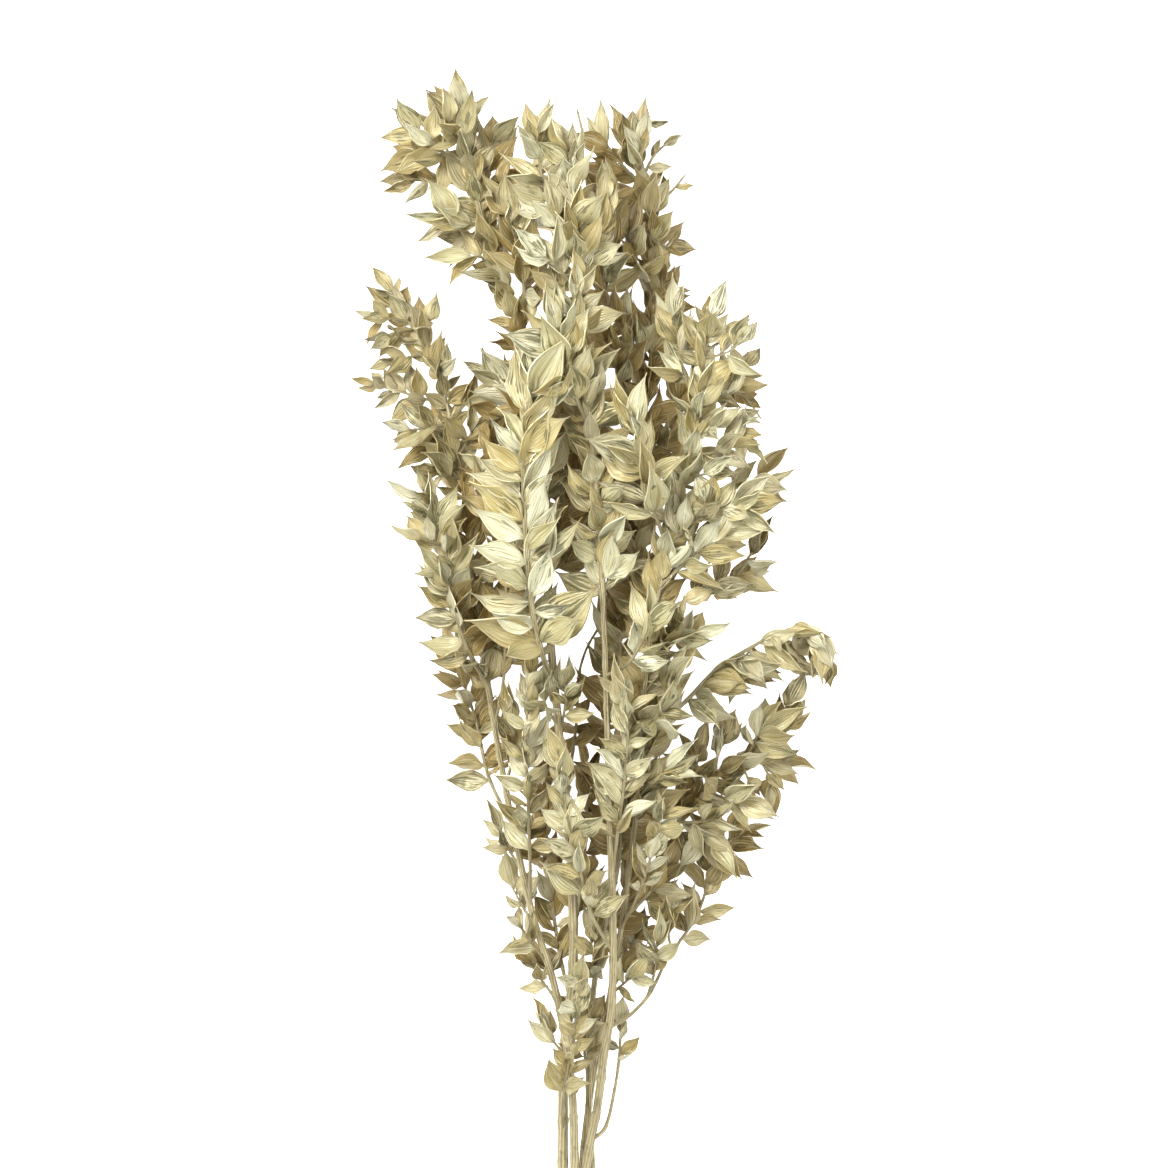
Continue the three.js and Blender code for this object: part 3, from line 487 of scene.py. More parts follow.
def new_grid(columns: int, rows: int) -> tuple[Model, Array, Array]:
    """Makes a flat grid of faces.

    Args:
        columns: Faces across it.
        rows: Faces along it.

    Returns:
        The grid, and for each corner its place across, from -1 to 1, and the number of its row.
    """
    clear_selection()
    bpy.ops.mesh.primitive_grid_add(x_subdivisions=columns, y_subdivisions=rows, size=2)
    grid = bpy.context.object
    flat = corners_of(grid.data)
    return grid, flat[:, 0], np.rint((flat[:, 1] + 1) / 2 * rows).astype(int)


def make_piece(name: str, parts: list[Model], node: str, materials: list[bpy.types.Material],
               smooth: float | None = None) -> Model:
    """Joins parts into a dressed piece that rides with the bunch in place of the frame's node.

    Args:
        name: What the piece is called.
        parts: Its parts, of which the first takes in the rest.
        node: The frame's node, whose slot has the same name.
        materials: What it is made of, in the order of its slots.
        smooth: Faces that meet under this angle look smooth, in degrees, unless the parts tell already.

    Returns:
        The piece.
    """
    clear_selection()
    for part in parts:
        part.select_set(True)
    piece = bpy.context.view_layer.objects.active = parts[0]
    bpy.ops.object.join()
    piece.name = piece.data.name = name
    piece.data.materials.clear()
    for material in materials:
        piece.data.materials.append(material)
    if smooth is not None:
        bpy.ops.object.shade_smooth_by_angle(angle=math.radians(smooth))
    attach(piece, "root")
    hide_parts(node)
    return piece


@dataclass
class Tube:
    """A closed tube along a path: a flat grid is rolled up, its seam merged and its ends filled.

    Attributes:
        centres: Points of the path, one for each ring.
        radii: The radius at each ring and side.
        twist: How far each ring is turned, in radians.
        repeats: How often v counts from 0 to 1 along it.
        WELD: Corners nearer than this are merged, in metres.
        UPRIGHT: The z of a direction too steep to be crossed with +Z.
    """

    centres: Array
    radii: Array
    twist: Array
    repeats: float
    WELD: ClassVar[float] = 1e-6
    UPRIGHT: ClassVar[float] = 0.9

    def _carried(self) -> tuple[Array, Array]:
        """Two directions square to the path at each ring, carried along it without turning about it."""
        ahead = np.gradient(self.centres, axis=0)
        ahead /= np.linalg.norm(ahead, axis=1)[:, None]
        side = np.cross(ahead[0], UP if abs(ahead[0][2]) < self.UPRIGHT else [1.0, 0.0, 0.0])
        firsts = []
        for forward in ahead:
            side = unit(side - forward * side.dot(forward))
            firsts.append(side)
        first = np.array(firsts)
        return first, np.cross(ahead, first)

    def build(self, name: str) -> Model:
        """Makes the tube.

        Args:
            name: What it is called.

        Returns:
            The tube, with u round it and v along it in its UV map.
        """
        rings, sides = self.radii.shape
        tube, across, ring = new_grid(sides, rings - 1)
        side = np.rint((across + 1) / 2 * sides).astype(int)
        angle = side / sides * 2 * math.pi + self.twist[ring]
        reach = self.radii[ring, side % sides]
        first, second = self._carried()
        rolled = (self.centres[ring]
                  + first[ring] * (np.cos(angle) * reach)[:, None]
                  + second[ring] * (np.sin(angle) * reach)[:, None])
        set_corners(tube.data, rolled * MM)
        bpy.ops.object.mode_set(mode="EDIT")
        bpy.ops.mesh.select_all(action="SELECT")
        bpy.ops.mesh.remove_doubles(threshold=self.WELD)
        bpy.ops.mesh.fill_holes(sides=0)
        bpy.ops.mesh.select_all(action="SELECT")
        bpy.ops.mesh.normals_make_consistent(inside=False)
        bpy.ops.object.mode_set(mode="OBJECT")
        tube.name = name
        layer = tube.data.uv_layers.active
        spots = np.empty(len(layer.data) * 2, np.float32)
        layer.data.foreach_get("uv", spots)
        spots[1::2] *= self.repeats
        layer.data.foreach_set("uv", spots)
        layer.name = "UVMap"
        return tube


# ---------------------------------------------------------------- leaves and scales


@dataclass(frozen=True)
class LeafShape:
    """How one kind of dried leaf is folded and curled.

    Attributes:
        fold: Angle at which each half rises from the midrib.
        cup: How much further the margins turn up.
        wave: Height of the waves along the margin.
        waves: How many there are along the leaf.
        lean: How far the blade's point swings aside.
        droop: How far the point bends down, or up where it is negative.
    """

    fold: float
    cup: float
    wave: float
    waves: float
    lean: float
    droop: float


class LeafForm(Enum):
    """The kinds of leaf that the bunch mixes."""

    BOAT = LeafShape(fold=0.42, cup=0.4, wave=0.45, waves=2.2, lean=0.7, droop=0.8)
    SPREAD = LeafShape(fold=0.16, cup=0.2, wave=0.7, waves=1.8, lean=-1.1, droop=1.2)
    TROUGH = LeafShape(fold=0.55, cup=0.5, wave=0.4, waves=1.7, lean=0.6, droop=-0.9)
    TURNED = LeafShape(fold=0.3, cup=-0.4, wave=0.8, waves=2.1, lean=2.0, droop=1.0)
    FLUTED = LeafShape(fold=0.22, cup=0.15, wave=1.2, waves=2.6, lean=-1.6, droop=-0.6)
    HOODED = LeafShape(fold=0.35, cup=0.6, wave=0.5, waves=2.0, lean=0.4, droop=2.6)
    RAISED = LeafShape(fold=0.45, cup=0.2, wave=0.6, waves=1.5, lean=-0.6, droop=-2.2)
    ARCHED = LeafShape(fold=-0.32, cup=-0.35, wave=0.6, waves=2.4, lean=1.1, droop=1.4)
    CRUMPLED = LeafShape(fold=0.3, cup=0.9, wave=1.0, waves=3.1, lean=-1.8, droop=1.8)
    NARROW = LeafShape(fold=0.7, cup=0.4, wave=0.35, waves=2.4, lean=1.2, droop=1.2)


@dataclass(frozen=True)
class LeafBlank:
    """A leaf modelled once at middling size, to be copied into every place.

    Attributes:
        length: Of the blank.
        width: At its shoulder.
        thickness: Of the dry blade.
        across: Faces across it.
        outline: Shares of its length, and its width there as a share of the width at the shoulder.
        spare: How much wider than its place a blade is before it is folded.
        tip: Where the point starts to bend, as a share of the length.
        sink: How far the midrib lies under its place, as a share of the half width.
        twisted: How much of the foot is twisted.
        phase: How far the waves of each margin are ahead of the middle's, in waves.
        ease: The power by which waves and twist set in.
        crimp: How far the waves draw the margin lengthwise, for their height.
        bend: How sharply the point bends.
        smooth: Faces that meet under this angle look smooth, in degrees.
    """

    length: float = 30.0
    width: float = 13.0
    thickness: float = 0.42
    across: int = 4
    outline: tuple[Pair, ...] = (
        (0, 0.1), (0.05, 0.14), (0.11, 0.37), (0.18, 0.64), (0.27, 0.87), (0.36, 0.99), (0.45, 1.02),
        (0.55, 0.93), (0.65, 0.74), (0.75, 0.48), (0.84, 0.22), (0.92, 0.06), (1, 0.015))
    spare: float = 1.13
    tip: float = 0.55
    sink: float = 0.22
    twisted: float = 0.3
    phase: float = 0.13
    ease: float = 1.5
    crimp: float = 0.5
    bend: float = 6.0
    smooth: float = 62.0

    def build(self, form: LeafForm) -> Model:
        """Models a leaf of one kind from a grid.

        Args:
            form: How it is folded and curled.

        Returns:
            The leaf along +Y from the origin, its face up, with its underside in the second material slot.
        """
        shape = form.value
        leaf, out, row = new_grid(self.across, len(self.outline) - 1)
        share, half = np.array(self.outline)[row].T
        side, edge = np.sign(out), np.abs(out)
        run = edge * half * self.width / 2
        angle = shape.fold + shape.cup * edge / 2
        wave = np.sin(2 * math.pi * (shape.waves * share + self.phase * side))
        margin = shape.wave * edge**self.ease * half * wave
        past = np.clip(share - self.tip, 0, 1) ** 2 * self.bend
        set_corners(leaf.data, np.stack([
            side * run * np.cos(angle) + shape.lean * past,
            share * self.length + self.crimp * margin,
            run * np.sin(angle) + margin - shape.droop * past - self.sink * half * self.width / 2,
        ], axis=1))
        wall = leaf.modifiers.new("blade", "SOLIDIFY")
        wall.thickness = self.thickness
        wall.offset = 0
        wall.use_even_offset = False
        wall.material_offset = wall.material_offset_rim = 1
        bpy.ops.object.modifier_apply(modifier=wall.name)
        bpy.ops.object.shade_smooth_by_angle(angle=math.radians(self.smooth))
        leaf.name = f"leaf_{form.name.lower()}"
        return leaf

    def place(self, blank: Model, leaf: Leaf) -> Model:
        """Copies the blank into a leaf's place and notes the leaf's own tone.

        Args:
            blank: The leaf as modelled.
            leaf: Where the copy goes.

        Returns:
            The copy.
        """
        pose = leaf.pose
        over = -1 if chance(*leaf.keys, Draw.TURN_OVER) < blend(*TURNED_OVER, leaf.shade) else 1
        corners = corners_of(blank.data)
        share = corners[:, 1] / self.length
        girth = pose.width / self.width * self.spare
        foot = np.clip(1 - share / self.twisted, 0, 1) ** self.ease
        turn = (BASE_TURN * swing(*leaf.keys, Draw.TWIST) * foot
                + ROLL * swing(*leaf.keys, Draw.ROLL) * share)
        cos, sin = np.cos(turn)[:, None], np.sin(turn)[:, None]
        across = (pose.across * cos + pose.facing * sin) * over
        facing = (pose.facing * cos - pose.across * sin) * over
        centre = pose.root + pose.direction * (share * pose.length)[:, None] + pose.bend * (share**2)[:, None]
        copy = copy_to(blank, centre + across * (corners[:, :1] * girth) + facing * (corners[:, 2:] * girth))
        tone = copy.data.attributes.new("tone", "FLOAT_VECTOR", "POINT")
        # The tone holds the leaf's luck, its painted shade (with thinner paint) and how streaky it is.
        values = (chance(*leaf.keys, Draw.TONE), leaf.shade, chance(*leaf.keys, Draw.STREAK))
        tone.data.foreach_set("vector", np.tile(values, len(corners)).astype(np.float32))
        return copy


@dataclass(frozen=True)
class ScaleBlank:
    """The small dry scale at a node, modelled once from a cone.

    Attributes:
        length: Of the scale.
        width: At its foot.
        tip: Radius of its point.
        sides: Round it.
        flat: Its thickness, as a share of its width.
        hook: How far its point leans out.
        lean: How far it leans away from its stem.
    """

    length: float = 3.0
    width: float = 1.8
    tip: float = 0.08
    sides: int = 6
    flat: float = 0.45
    hook: float = 0.9
    lean: float = 0.35

    def build(self) -> Model:
        """Models the scale along +Z from the origin, hollowed towards -Y, where its stem is."""
        clear_selection()
        bpy.ops.mesh.primitive_cone_add(vertices=self.sides, radius1=self.width / 2, radius2=self.tip,
                                        depth=self.length, location=(0, 0, self.length / 2))
        scale = bpy.context.object
        bpy.ops.object.transform_apply(location=True, rotation=True, scale=True)
        corners = corners_of(scale.data)
        up = corners[:, 2] / self.length
        corners[:, 1] = corners[:, 1] * self.flat + self.hook * up**2
        set_corners(scale.data, corners)
        scale.name = "scale"
        return scale

    def place(self, blank: Model, foot: Array, along: Array, out: Array,
              size: float) -> Model:
        """Copies the scale onto a stem.

        Args:
            blank: The scale as modelled.
            foot: Where it stands on the bark.
            along: The direction of its stem.
            out: The direction away from the stem.
            size: How large it is, as a share of the blank.

        Returns:
            The copy.
        """
        rise = unit(along + out * self.lean)
        lift = unit(out - rise * out.dot(rise))
        x, y, z = (corners_of(blank.data) * size).T[:, :, None]
        return copy_to(blank, foot + np.cross(lift, rise) * x + lift * y + rise * z)


# ---------------------------------------------------------------- node trees

Colour = tuple[float, ...]
Weights = tuple[tuple[str, float], ...]


def srgb(*levels: int) -> Colour:
    """A colour given as it looks on a screen, for a shader.

    Args:
        levels: Red, green and blue, each from 0 to 255.

    Returns:
        The same colour in linear light, with an alpha of 1.
    """
    shares = [level / 255 for level in levels]
    return (*(share / 12.92 if share <= 0.04045 else ((share + 0.055) / 1.055) ** 2.4 for share in shares), 1.0)


@dataclass
class Signal:
    """A socket of a node tree that can be reckoned with like a number."""

    board: "Board"
    socket: bpy.types.NodeSocket

    def __add__(self, other: "Source") -> "Signal":
        """The sum, from a Math node."""
        return self.board.maths("ADD", self, other)

    def __sub__(self, other: "Source") -> "Signal":
        """The difference, from a Math node."""
        return self.board.maths("SUBTRACT", self, other)

    def __mul__(self, other: "Source") -> "Signal":
        """The product, from a Math node."""
        return self.board.maths("MULTIPLY", self, other)

    def span(self, low: float, high: float, first: float = 0.0, last: float = 1.0) -> "Signal":
        """The value mapped smoothly from low and high to first and last."""
        inputs = {"Value": self, "From Min": low, "From Max": high, "To Min": first, "To Max": last}
        return self.board.made("ShaderNodeMapRange", inputs, "Result", interpolation_type="SMOOTHSTEP")


Source = Signal | float | Colour
Inputs = dict[str | int, Source]
Signals = dict[str, Signal]


class Board:
    """A node tree while it is being wired."""

    def __init__(self, tree: bpy.types.NodeTree) -> None:
        """Opens a material's or a group's tree."""
        self.tree = tree

    def feed(self, sockets: bpy.types.bpy_prop_collection, sources: Inputs) -> None:
        """Links signals into inputs, or sets inputs to constants.

        Args:
            sockets: A node's inputs.
            sources: What feeds them, by name or number.
        """
        for name, source in sources.items():
            if isinstance(source, Signal):
                self.tree.links.new(source.socket, sockets[name])
            else:
                sockets[name].default_value = source

    def node(self, kind: str, inputs: Inputs, **settings: object) -> bpy.types.Node:
        """Adds a node.

        Args:
            kind: What it is.
            inputs: What feeds its inputs.
            settings: Its other settings.

        Returns:
            The node.
        """
        made = self.tree.nodes.new(kind)
        for name, value in settings.items():
            setattr(made, name, value)
        self.feed(made.inputs, inputs)
        return made

    def made(self, kind: str, inputs: Inputs, output: str | int = 0,
             **settings: object) -> Signal:
        """One output of a new node."""
        return Signal(self, self.node(kind, inputs, **settings).outputs[output])

    def maths(self, operation: str, first: Source, second: Source = 0.0) -> Signal:
        """The result of a Math node."""
        return self.made("ShaderNodeMath", {0: first, 1: second}, operation=operation)

    def mix(self, share: Source, first: Source, second: Source) -> Signal:
        """A colour between two."""
        return self.made("ShaderNodeMix", {"Factor": share, 6: first, 7: second}, 2, data_type="RGBA")

    def parts(self, vector: Source) -> list[Signal]:
        """The three values of a vector."""
        return [Signal(self, part) for part in self.node("ShaderNodeSeparateXYZ", {0: vector}).outputs]

    def noise(self, place: Source | tuple[Source, ...], scale: float, detail: float) -> Signal:
        """Smooth noise from 0 to 1, at a vector or at three values."""
        if isinstance(place, tuple):
            place = self.made("ShaderNodeCombineXYZ", dict(enumerate(place)))
        return self.made("ShaderNodeTexNoise", {"Vector": place, "Scale": scale, "Detail": detail}, "Fac")

    def spot(self) -> Signal:
        """The place on the object, in metres."""
        return self.made("ShaderNodeTexCoord", {}, "Object")

    def place(self, group: bpy.types.NodeTree, **inputs: Source) -> Signals:
        """Places a group and gives its outputs by name."""
        placed = self.node("ShaderNodeGroup", inputs, node_tree=group)
        return {socket.name: Signal(self, socket) for socket in placed.outputs}


def make_group(name: str, inputs: tuple[str, ...],
               recipe: Callable[..., Signals]) -> bpy.types.NodeTree:
    """Makes a shader node group whose sockets are all plain values.

    Args:
        name: Of the group.
        inputs: Names of its inputs.
        recipe: Takes the group's board and its inputs, and gives its outputs by name.

    Returns:
        The group.
    """
    group = bpy.data.node_groups.new(name, "ShaderNodeTree")
    for socket in inputs:
        kind = "NodeSocketVector" if socket == "Spot" else "NodeSocketFloat"
        group.interface.new_socket(socket, in_out="INPUT", socket_type=kind)
    board = Board(group)
    given = board.node("NodeGroupInput", {}).outputs
    outputs = recipe(board, *(Signal(board, given[socket]) for socket in inputs))
    for socket in outputs:
        group.interface.new_socket(socket, in_out="OUTPUT", socket_type="NodeSocketFloat")
    board.node("NodeGroupOutput", outputs)
    return group


# ---------------------------------------------------------------- finishes


@dataclass(frozen=True)
class Ribs:
    """Ribs that run from end to end, slightly wandering.

    Attributes:
        drift: How quickly they wander, across and along.
        wander: How far.
        groove: The heights between which a groove sets in.
    """

    drift: Pair = (3.0, 2.0)
    wander: float = 0.14
    grooveshade: Pair = (-0.2, -0.95)

    def __call__(self, board: Board, across: Signal, along: Signal, seed: Signal,
                 count: Signal) -> Signals:
        """Wires the group: so many ribs side by side give their height and their grooves."""
        drift = board.noise((across * self.drift[0], along * self.drift[1], seed), 1.0, 2.0)
        wave = board.maths("SINE", (across + (drift - 0.5) * self.wander) * count * (2 * math.pi))
        # GrooveShade: where painted shade goes into the grooves between the ribs.
        return {"Rib": wave * 0.5 + 0.5, "GrooveShade": wave.span(*self.grooveshade)}


@dataclass(frozen=True)
class Streaks:
    """Long streaks where the paint is thin, fine fibres between them, and a broad mottle.

    Attributes:
        streak: How often streaks end along a piece.
        fibre: How much closer fibres lie than streaks, and how often they end.
        mottle: How fine the mottle is, across and along.
        apart: Between the seeds of streaks and fibres.
    """

    streak: float = 2.4
    fibre: Pair = (1.9, 1.6)
    mottle: Pair = (1.7, 2.3)
    apart: float = 40.0

    def __call__(self, board: Board, across: Signal, along: Signal, seed: Signal,
                 stretch: Signal) -> Signals:
        """Wires the group: so many streaks side by side, and what goes with them."""
        fibre = (across * (stretch * self.fibre[0]), along * self.fibre[1], seed + self.apart)
        mottle = (across * self.mottle[0], along * self.mottle[1], seed)
        return {"Streak": board.noise((across * stretch, along * self.streak, seed), 1.0, 3.0),
                "Fibre": board.noise(fibre, 1.0, 2.0), "Mottle": board.noise(mottle, 1.3, 3.0)}


@dataclass(frozen=True)
class Grain:
    """The fine grain of sprayed paint on a dry surface.

    Attributes:
        coarse: How much coarser its specks are.
        speck: The heights between which a speck sets in.
        smooth: The heights between which it is evened out.
    """

    coarse: float = 0.6
    speck: Pair = (0.62, 0.72)
    smooth: Pair = (0.2, 0.8)

    def __call__(self, board: Board, spot: Signal, scale: Signal) -> Signals:
        """Wires the group: so many grains to a metre, and their specks."""
        scaled = board.made("ShaderNodeVectorMath", {0: spot, "Scale": scale}, operation="SCALE")
        grain = board.noise(scaled, 1.0, 4.0)
        return {"Grain": grain, "Smooth": grain.span(*self.smooth),
                "Speck": board.noise(scaled, self.coarse, 2.0).span(*self.speck)}


class Effects:
    """The node groups that the finishes share."""

    def __init__(self) -> None:
        """Makes the groups."""
        self.ribs = make_group("ribs", ("Across", "Along", "Seed", "Count"), Ribs())
        self.streaks = make_group("streaks", ("Across", "Along", "Seed", "Stretch"), Streaks())
        self.grain = make_group("grain", ("Spot", "Scale"), Grain())


@dataclass(frozen=True)
class Mask:
    """Where something shows.

    Attributes:
        effect: What tells where.
        most: How much shows where the effect is full.
        start: The effect's value where it sets in. Without it the effect is taken as it is.
        full: The effect's value where it is full.
    """

    effect: str
    most: float = 1.0
    start: float | None = None
    full: float = 1.0

    def share(self, effects: Signals) -> Signal:
        """How much shows."""
        effect = effects[self.effect]
        return effect * self.most if self.start is None else effect.span(self.start, self.full, 0.0, self.most)


Layers = tuple[tuple[Mask, Colour], ...]


@dataclass(frozen=True)
class Finish:
    """A surface: a ground tone, the layers over it, its gloss and its relief.

    Attributes:
        name: Of the material.
        ground: The tone under every layer.
        relief: The effects that raise the surface, and how much each counts.
        depth: How high a relief of 1 stands, in metres.
        strength: How much of the relief shows.
        roughness: Where no effect adds to it.
        rough: The effects that make it rougher, and by how much.
        grain: How many grains there are to a metre.
        ribs: How many ridges lie side by side.
        stretch: How many streaks lie side by side.
        seeds: Of the ridges and of the streaks.
        slant: How far both lean.
        bare: Where the paint is off, if it is painted.
        metallic: Of the paint.
        coat: How much white sheen lies over the paint where there is no painted shade.
        coat_roughness: Of that sheen.
        coat_fade: The values of the painted shade between which the sheen fades away.
    """

    name: str = ""
    ground: Colour = ()
    relief: Weights = (("Grain", 1.0),)
    depth: float = 0.0003
    strength: float = 0.8
    roughness: float = 0.7
    rough: Weights = (("Smooth", 0.2),)
    grain: float = 2600.0
    ribs: float = 9.0
    stretch: float = 9.0
    seeds: Pair = (3.0, 9.0)
    slant: float = 0.0
    bare: Mask | None = None
    metallic: float = 0.0
    coat: float = 0.0
    coat_roughness: float = 0.4
    coat_fade: Pair = (0.1, 0.7)

    def layers(self) -> Layers:
        """The tones laid over the ground, from the first to the last."""
        return ()

    def shared(self, board: Board, effects: Effects, seeds: tuple[Source, Source]) -> Signals:
        """Places the shared effects.

        Args:
            board: The material's board.
            effects: The shared effects.
            seeds: Of the ridges and of the streaks.

        Returns:
            What they give, by name.
        """
        u, v, _ = board.parts(board.made("ShaderNodeUVMap", {}, uv_map="UVMap"))
        across = u + v * self.slant if self.slant else u
        return {"Along": v,
                **board.place(effects.ribs, Across=across, Along=v, Seed=seeds[0], Count=self.ribs),
                **board.place(effects.streaks, Across=across, Along=v, Seed=seeds[1], Stretch=self.stretch),
                **board.place(effects.grain, Spot=board.spot(), Scale=self.grain)}

    def effects(self, board: Board, effects: Effects) -> Signals:
        """All that tells where something shows."""
        return self.shared(board, effects, self.seeds)

    def material(self, shared: Effects) -> bpy.types.Material:
        """Builds the material.

        Args:
            shared: The shared effects.

        Returns:
            The material.
        """
        material, board, shader = new_material(self.name)
        effects = self.effects(board, shared)
        inputs: dict[str, Source] = {}
        if self.bare:
            effects["Bared"] = self.bare.share(effects)
            inputs["Metallic"] = board.maths("SUBTRACT", 1.0, effects["Bared"]) * self.metallic
        if self.coat:
            # The sheen fades where leaves take painted shade.
            inputs["Coat Weight"] = effects["Shade"].span(*self.coat_fade, self.coat, 0.0)
            inputs["Coat Roughness"] = self.coat_roughness
        colour: Source = self.ground
        for mask, tone in self.layers():
            colour = board.mix(mask.share(effects), colour, tone)
        height, rough = (sum((effects[name] * weight for name, weight in rest), effects[first[0]] * first[1])
                         for first, *rest in (self.relief, self.rough))
        bump = {"Strength": self.strength, "Distance": self.depth, "Height": height}
        board.feed(shader.inputs, {
            **inputs, "Base Color": colour, "Roughness": rough + self.roughness,
            "Normal": board.made("ShaderNodeBump", bump, "Normal")})
        return material


def new_material(name: str) -> tuple[bpy.types.Material, Board, bpy.types.Node]:
    """Starts a material.

    Args:
        name: Of the material.

    Returns:
        The material, its board and its Principled shader.
    """
    material = bpy.data.materials.new(name)
    material.use_nodes = True
    return material, Board(material.node_tree), material.node_tree.nodes["Principled BSDF"]


@dataclass(frozen=True)
class LeafPaint(Finish):
    """Satin gold paint on a dry, ribbed leaf, with its thin places along the ribs.

    Attributes:
        pale: Where the paint lies thick.
        deep: Painted shade, with thinner paint, on leaves that lie under others or low down; also the dark
            fibres, the painted shade in the grooves and the specks.
        warm: On leaves that the paint has reached from one side only.
        leaf: The dark leaf that shows through in streaks.
        spine: At the point.
        seed_step: Between the noise of one leaf and another.
        warm_step: The same for their warmth.
        light: How much the mottle and the leaf's own tone make it paler.
        thin: On thinly painted leaves: where they start and how much further the streaks reach.
        patch: Patches of thick paint: where they start and are full, and how far the streaks draw back.
    """

    name: str = "leaf_paint"
    ground: Colour = srgb(199, 193, 145)
    pale: Colour = srgb(230, 230, 199)
    deep: Colour = srgb(150, 125, 66)
    warm: Colour = srgb(186, 167, 100)
    leaf: Colour = srgb(98, 92, 50)
    spine: Colour = srgb(184, 164, 118)
    relief: Weights = (("Rib", 0.16), ("Streak", 1.0), ("Fibre", 0.8), ("Grain", 0.15))
    depth: float = 0.0012
    strength: float = 0.9
    roughness: float = 0.3
    rough: Weights = (("Grain", 0.16), ("Bared", 0.2))
    grain: float = 1400.0
    stretch: float = 13.0
    bare: Mask | None = Mask("Thin", 0.85, 0.6, 0.68)
    metallic: float = 0.25
    coat: float = 0.5
    seed_step: float = 61.0
    warm_step: float = 7.3
    light: Pair = (0.9, 0.5)
    thin: Pair = (0.3, 0.2)
    patch: Point = (0.6, 0.42, 0.16)

    def layers(self) -> Layers:
        """The tones laid over the ground, from the first to the last."""
        # Shade lays painted shade, with thinner paint, on leaves under others or low down.
        return ((Mask("Light", 1.0, 0.4, 1.0), self.pale), (Mask("Warmth", 0.75, 0.5, 0.9), self.warm),
                (Mask("Shade", 0.95), self.deep), (Mask("Fibre", 0.6, 0.48, 0.34), self.deep),
                # GrooveShade lays painted shade in the grooves between the leaf's ribs.
                (Mask("Fibre", 0.6, 0.54, 0.68), self.pale), (Mask("GrooveShade", 0.12), self.deep),
                (Mask("Bared"), self.leaf), (Mask("Speck", 0.16), self.deep),
                (Mask("Along", 0.7, 0.84, 0.97), self.spine))

    def effects(self, board: Board, effects: Effects) -> Signals:
        """All that tells where something shows, with the tone that each leaf carries.

        Args:
            board: The material's board.
            effects: The shared effects.

        Returns:
            The effects by name.
        """
        # Tone: the leaf's luck, its painted shade and how thin its paint is.
        luck, shade, thin = board.parts(
            board.made("ShaderNodeAttribute", {}, "Vector", attribute_name="tone"))
        seed = luck * self.seed_step
        made = self.shared(board, effects, (seed, seed))
        mottle = made["Mottle"]
        start, full, back = self.patch
        reach = thin.span(self.thin[0], 1.0) * self.thin[1] - mottle.span(start, full) * back
        return {**made, "Shade": shade, "Light": mottle * self.light[0] + luck * self.light[1],
                "Warmth": board.maths("FRACT", luck * self.warm_step), "Thin": made["Streak"] + reach}


@dataclass(frozen=True)
class BarkPaint(Finish):
    """Gold paint on ridged bark with painted shade in its grooves and darker streaks, worn to the wood here and
    there.
    """

    name: str = "bark_paint"
    ground: Colour = srgb(184, 173, 134)
    # Painted shade in the grooves, and the colour of the dark streaks.
    grooveshade: Colour = srgb(104, 90, 58)
    worn: Colour = srgb(112, 94, 62)
    relief: Weights = (("Rib", 1.0), ("Streak", 1.2), ("Grain", 0.4))
    depth: float = 0.0005
    roughness: float = 0.4
    rough: Weights = (("Grain", 0.2),)
    grain: float = 900.0
    bare: Mask | None = Mask("Mottle", 0.6, 0.62, 0.72)
    metallic: float = 0.3

    def layers(self) -> Layers:
        """The tones laid over the ground, from the first to the last."""
        # The grooves take painted shade; the streaks, worn places and specks are the bark's own.
        return ((Mask("GrooveShade", 0.6), self.grooveshade), (Mask("Streak", 0.55, 0.45, 0.75), self.grooveshade),
                (Mask("Bared"), self.worn), (Mask("Speck", 0.3), self.worn))


@dataclass(frozen=True)
class CutWood(Finish):
    """The pale end of a cane where it was cut, with its fibres and darker pith."""

    name: str = "cut_wood"
    ground: Colour = srgb(208, 184, 134)
    fibre: Colour = srgb(140, 108, 66)
    strength: float = 0.6

    def layers(self) -> Layers:
        """The tones laid over the ground, from the first to the last."""
        return (Mask("Dots", 0.8, 0.35, 0.1), self.fibre), (Mask("Speck", 0.4), self.fibre)

    def effects(self, board: Board, effects: Effects) -> Signals:
        """All that tells where something shows: the grain, and the dots of the cut fibres."""
        dots = board.made("ShaderNodeTexVoronoi", {"Vector": board.spot(), "Scale": self.grain}, "Distance")
        return {"Dots": dots, **board.place(effects.grain, Spot=board.spot(), Scale=self.grain)}


@dataclass(frozen=True)
class TwineFibre(Finish):
    """Plain jute twine: twisted strands with loose fibres."""

    name: str = "twine_fibre"
    ground: Colour = srgb(206, 182, 138)
    # Dark fibre streaks, and painted shade in the grooves between strands.
    dark: Colour = srgb(140, 112, 74)
    relief: Weights = (("Rib", 1.0), ("Grain", 1.0))
    depth: float = 0.0002
    roughness: float = 0.82
    rough: Weights = (("Smooth", 0.15),)
    grain: float = 2200.0
    ribs: float = 26.0
    stretch: float = 18.0
    seeds: Pair = (5.0, 2.0)
    slant: float = 1.4

    def layers(self) -> Layers:
        """The tones laid over the ground, from the first to the last."""
        # GrooveShade lays painted shade between the strands.
        return (Mask("Streak", 1.0, 0.3, 0.75), self.dark), (Mask("GrooveShade", 0.45), self.dark)


LEAF_BACK_PAINT = LeafPaint(
    name="leaf_back_paint", ground=srgb(175, 161, 104), pale=srgb(207, 200, 149), deep=srgb(123, 101, 52),
    warm=srgb(160, 138, 78), roughness=0.37, coat=0.3)


class Finishes:
    """Every material of the bunch, each built once."""

    def __init__(self) -> None:
        """Builds the materials."""
        effects = Effects()
        self.leaf_face, self.leaf_back, self.bark, self.cut, self.twine = (
            finish.material(effects)
            for finish in (LeafPaint(), LEAF_BACK_PAINT, BarkPaint(), CutWood(), TwineFibre()))


# ---------------------------------------------------------------- the canes


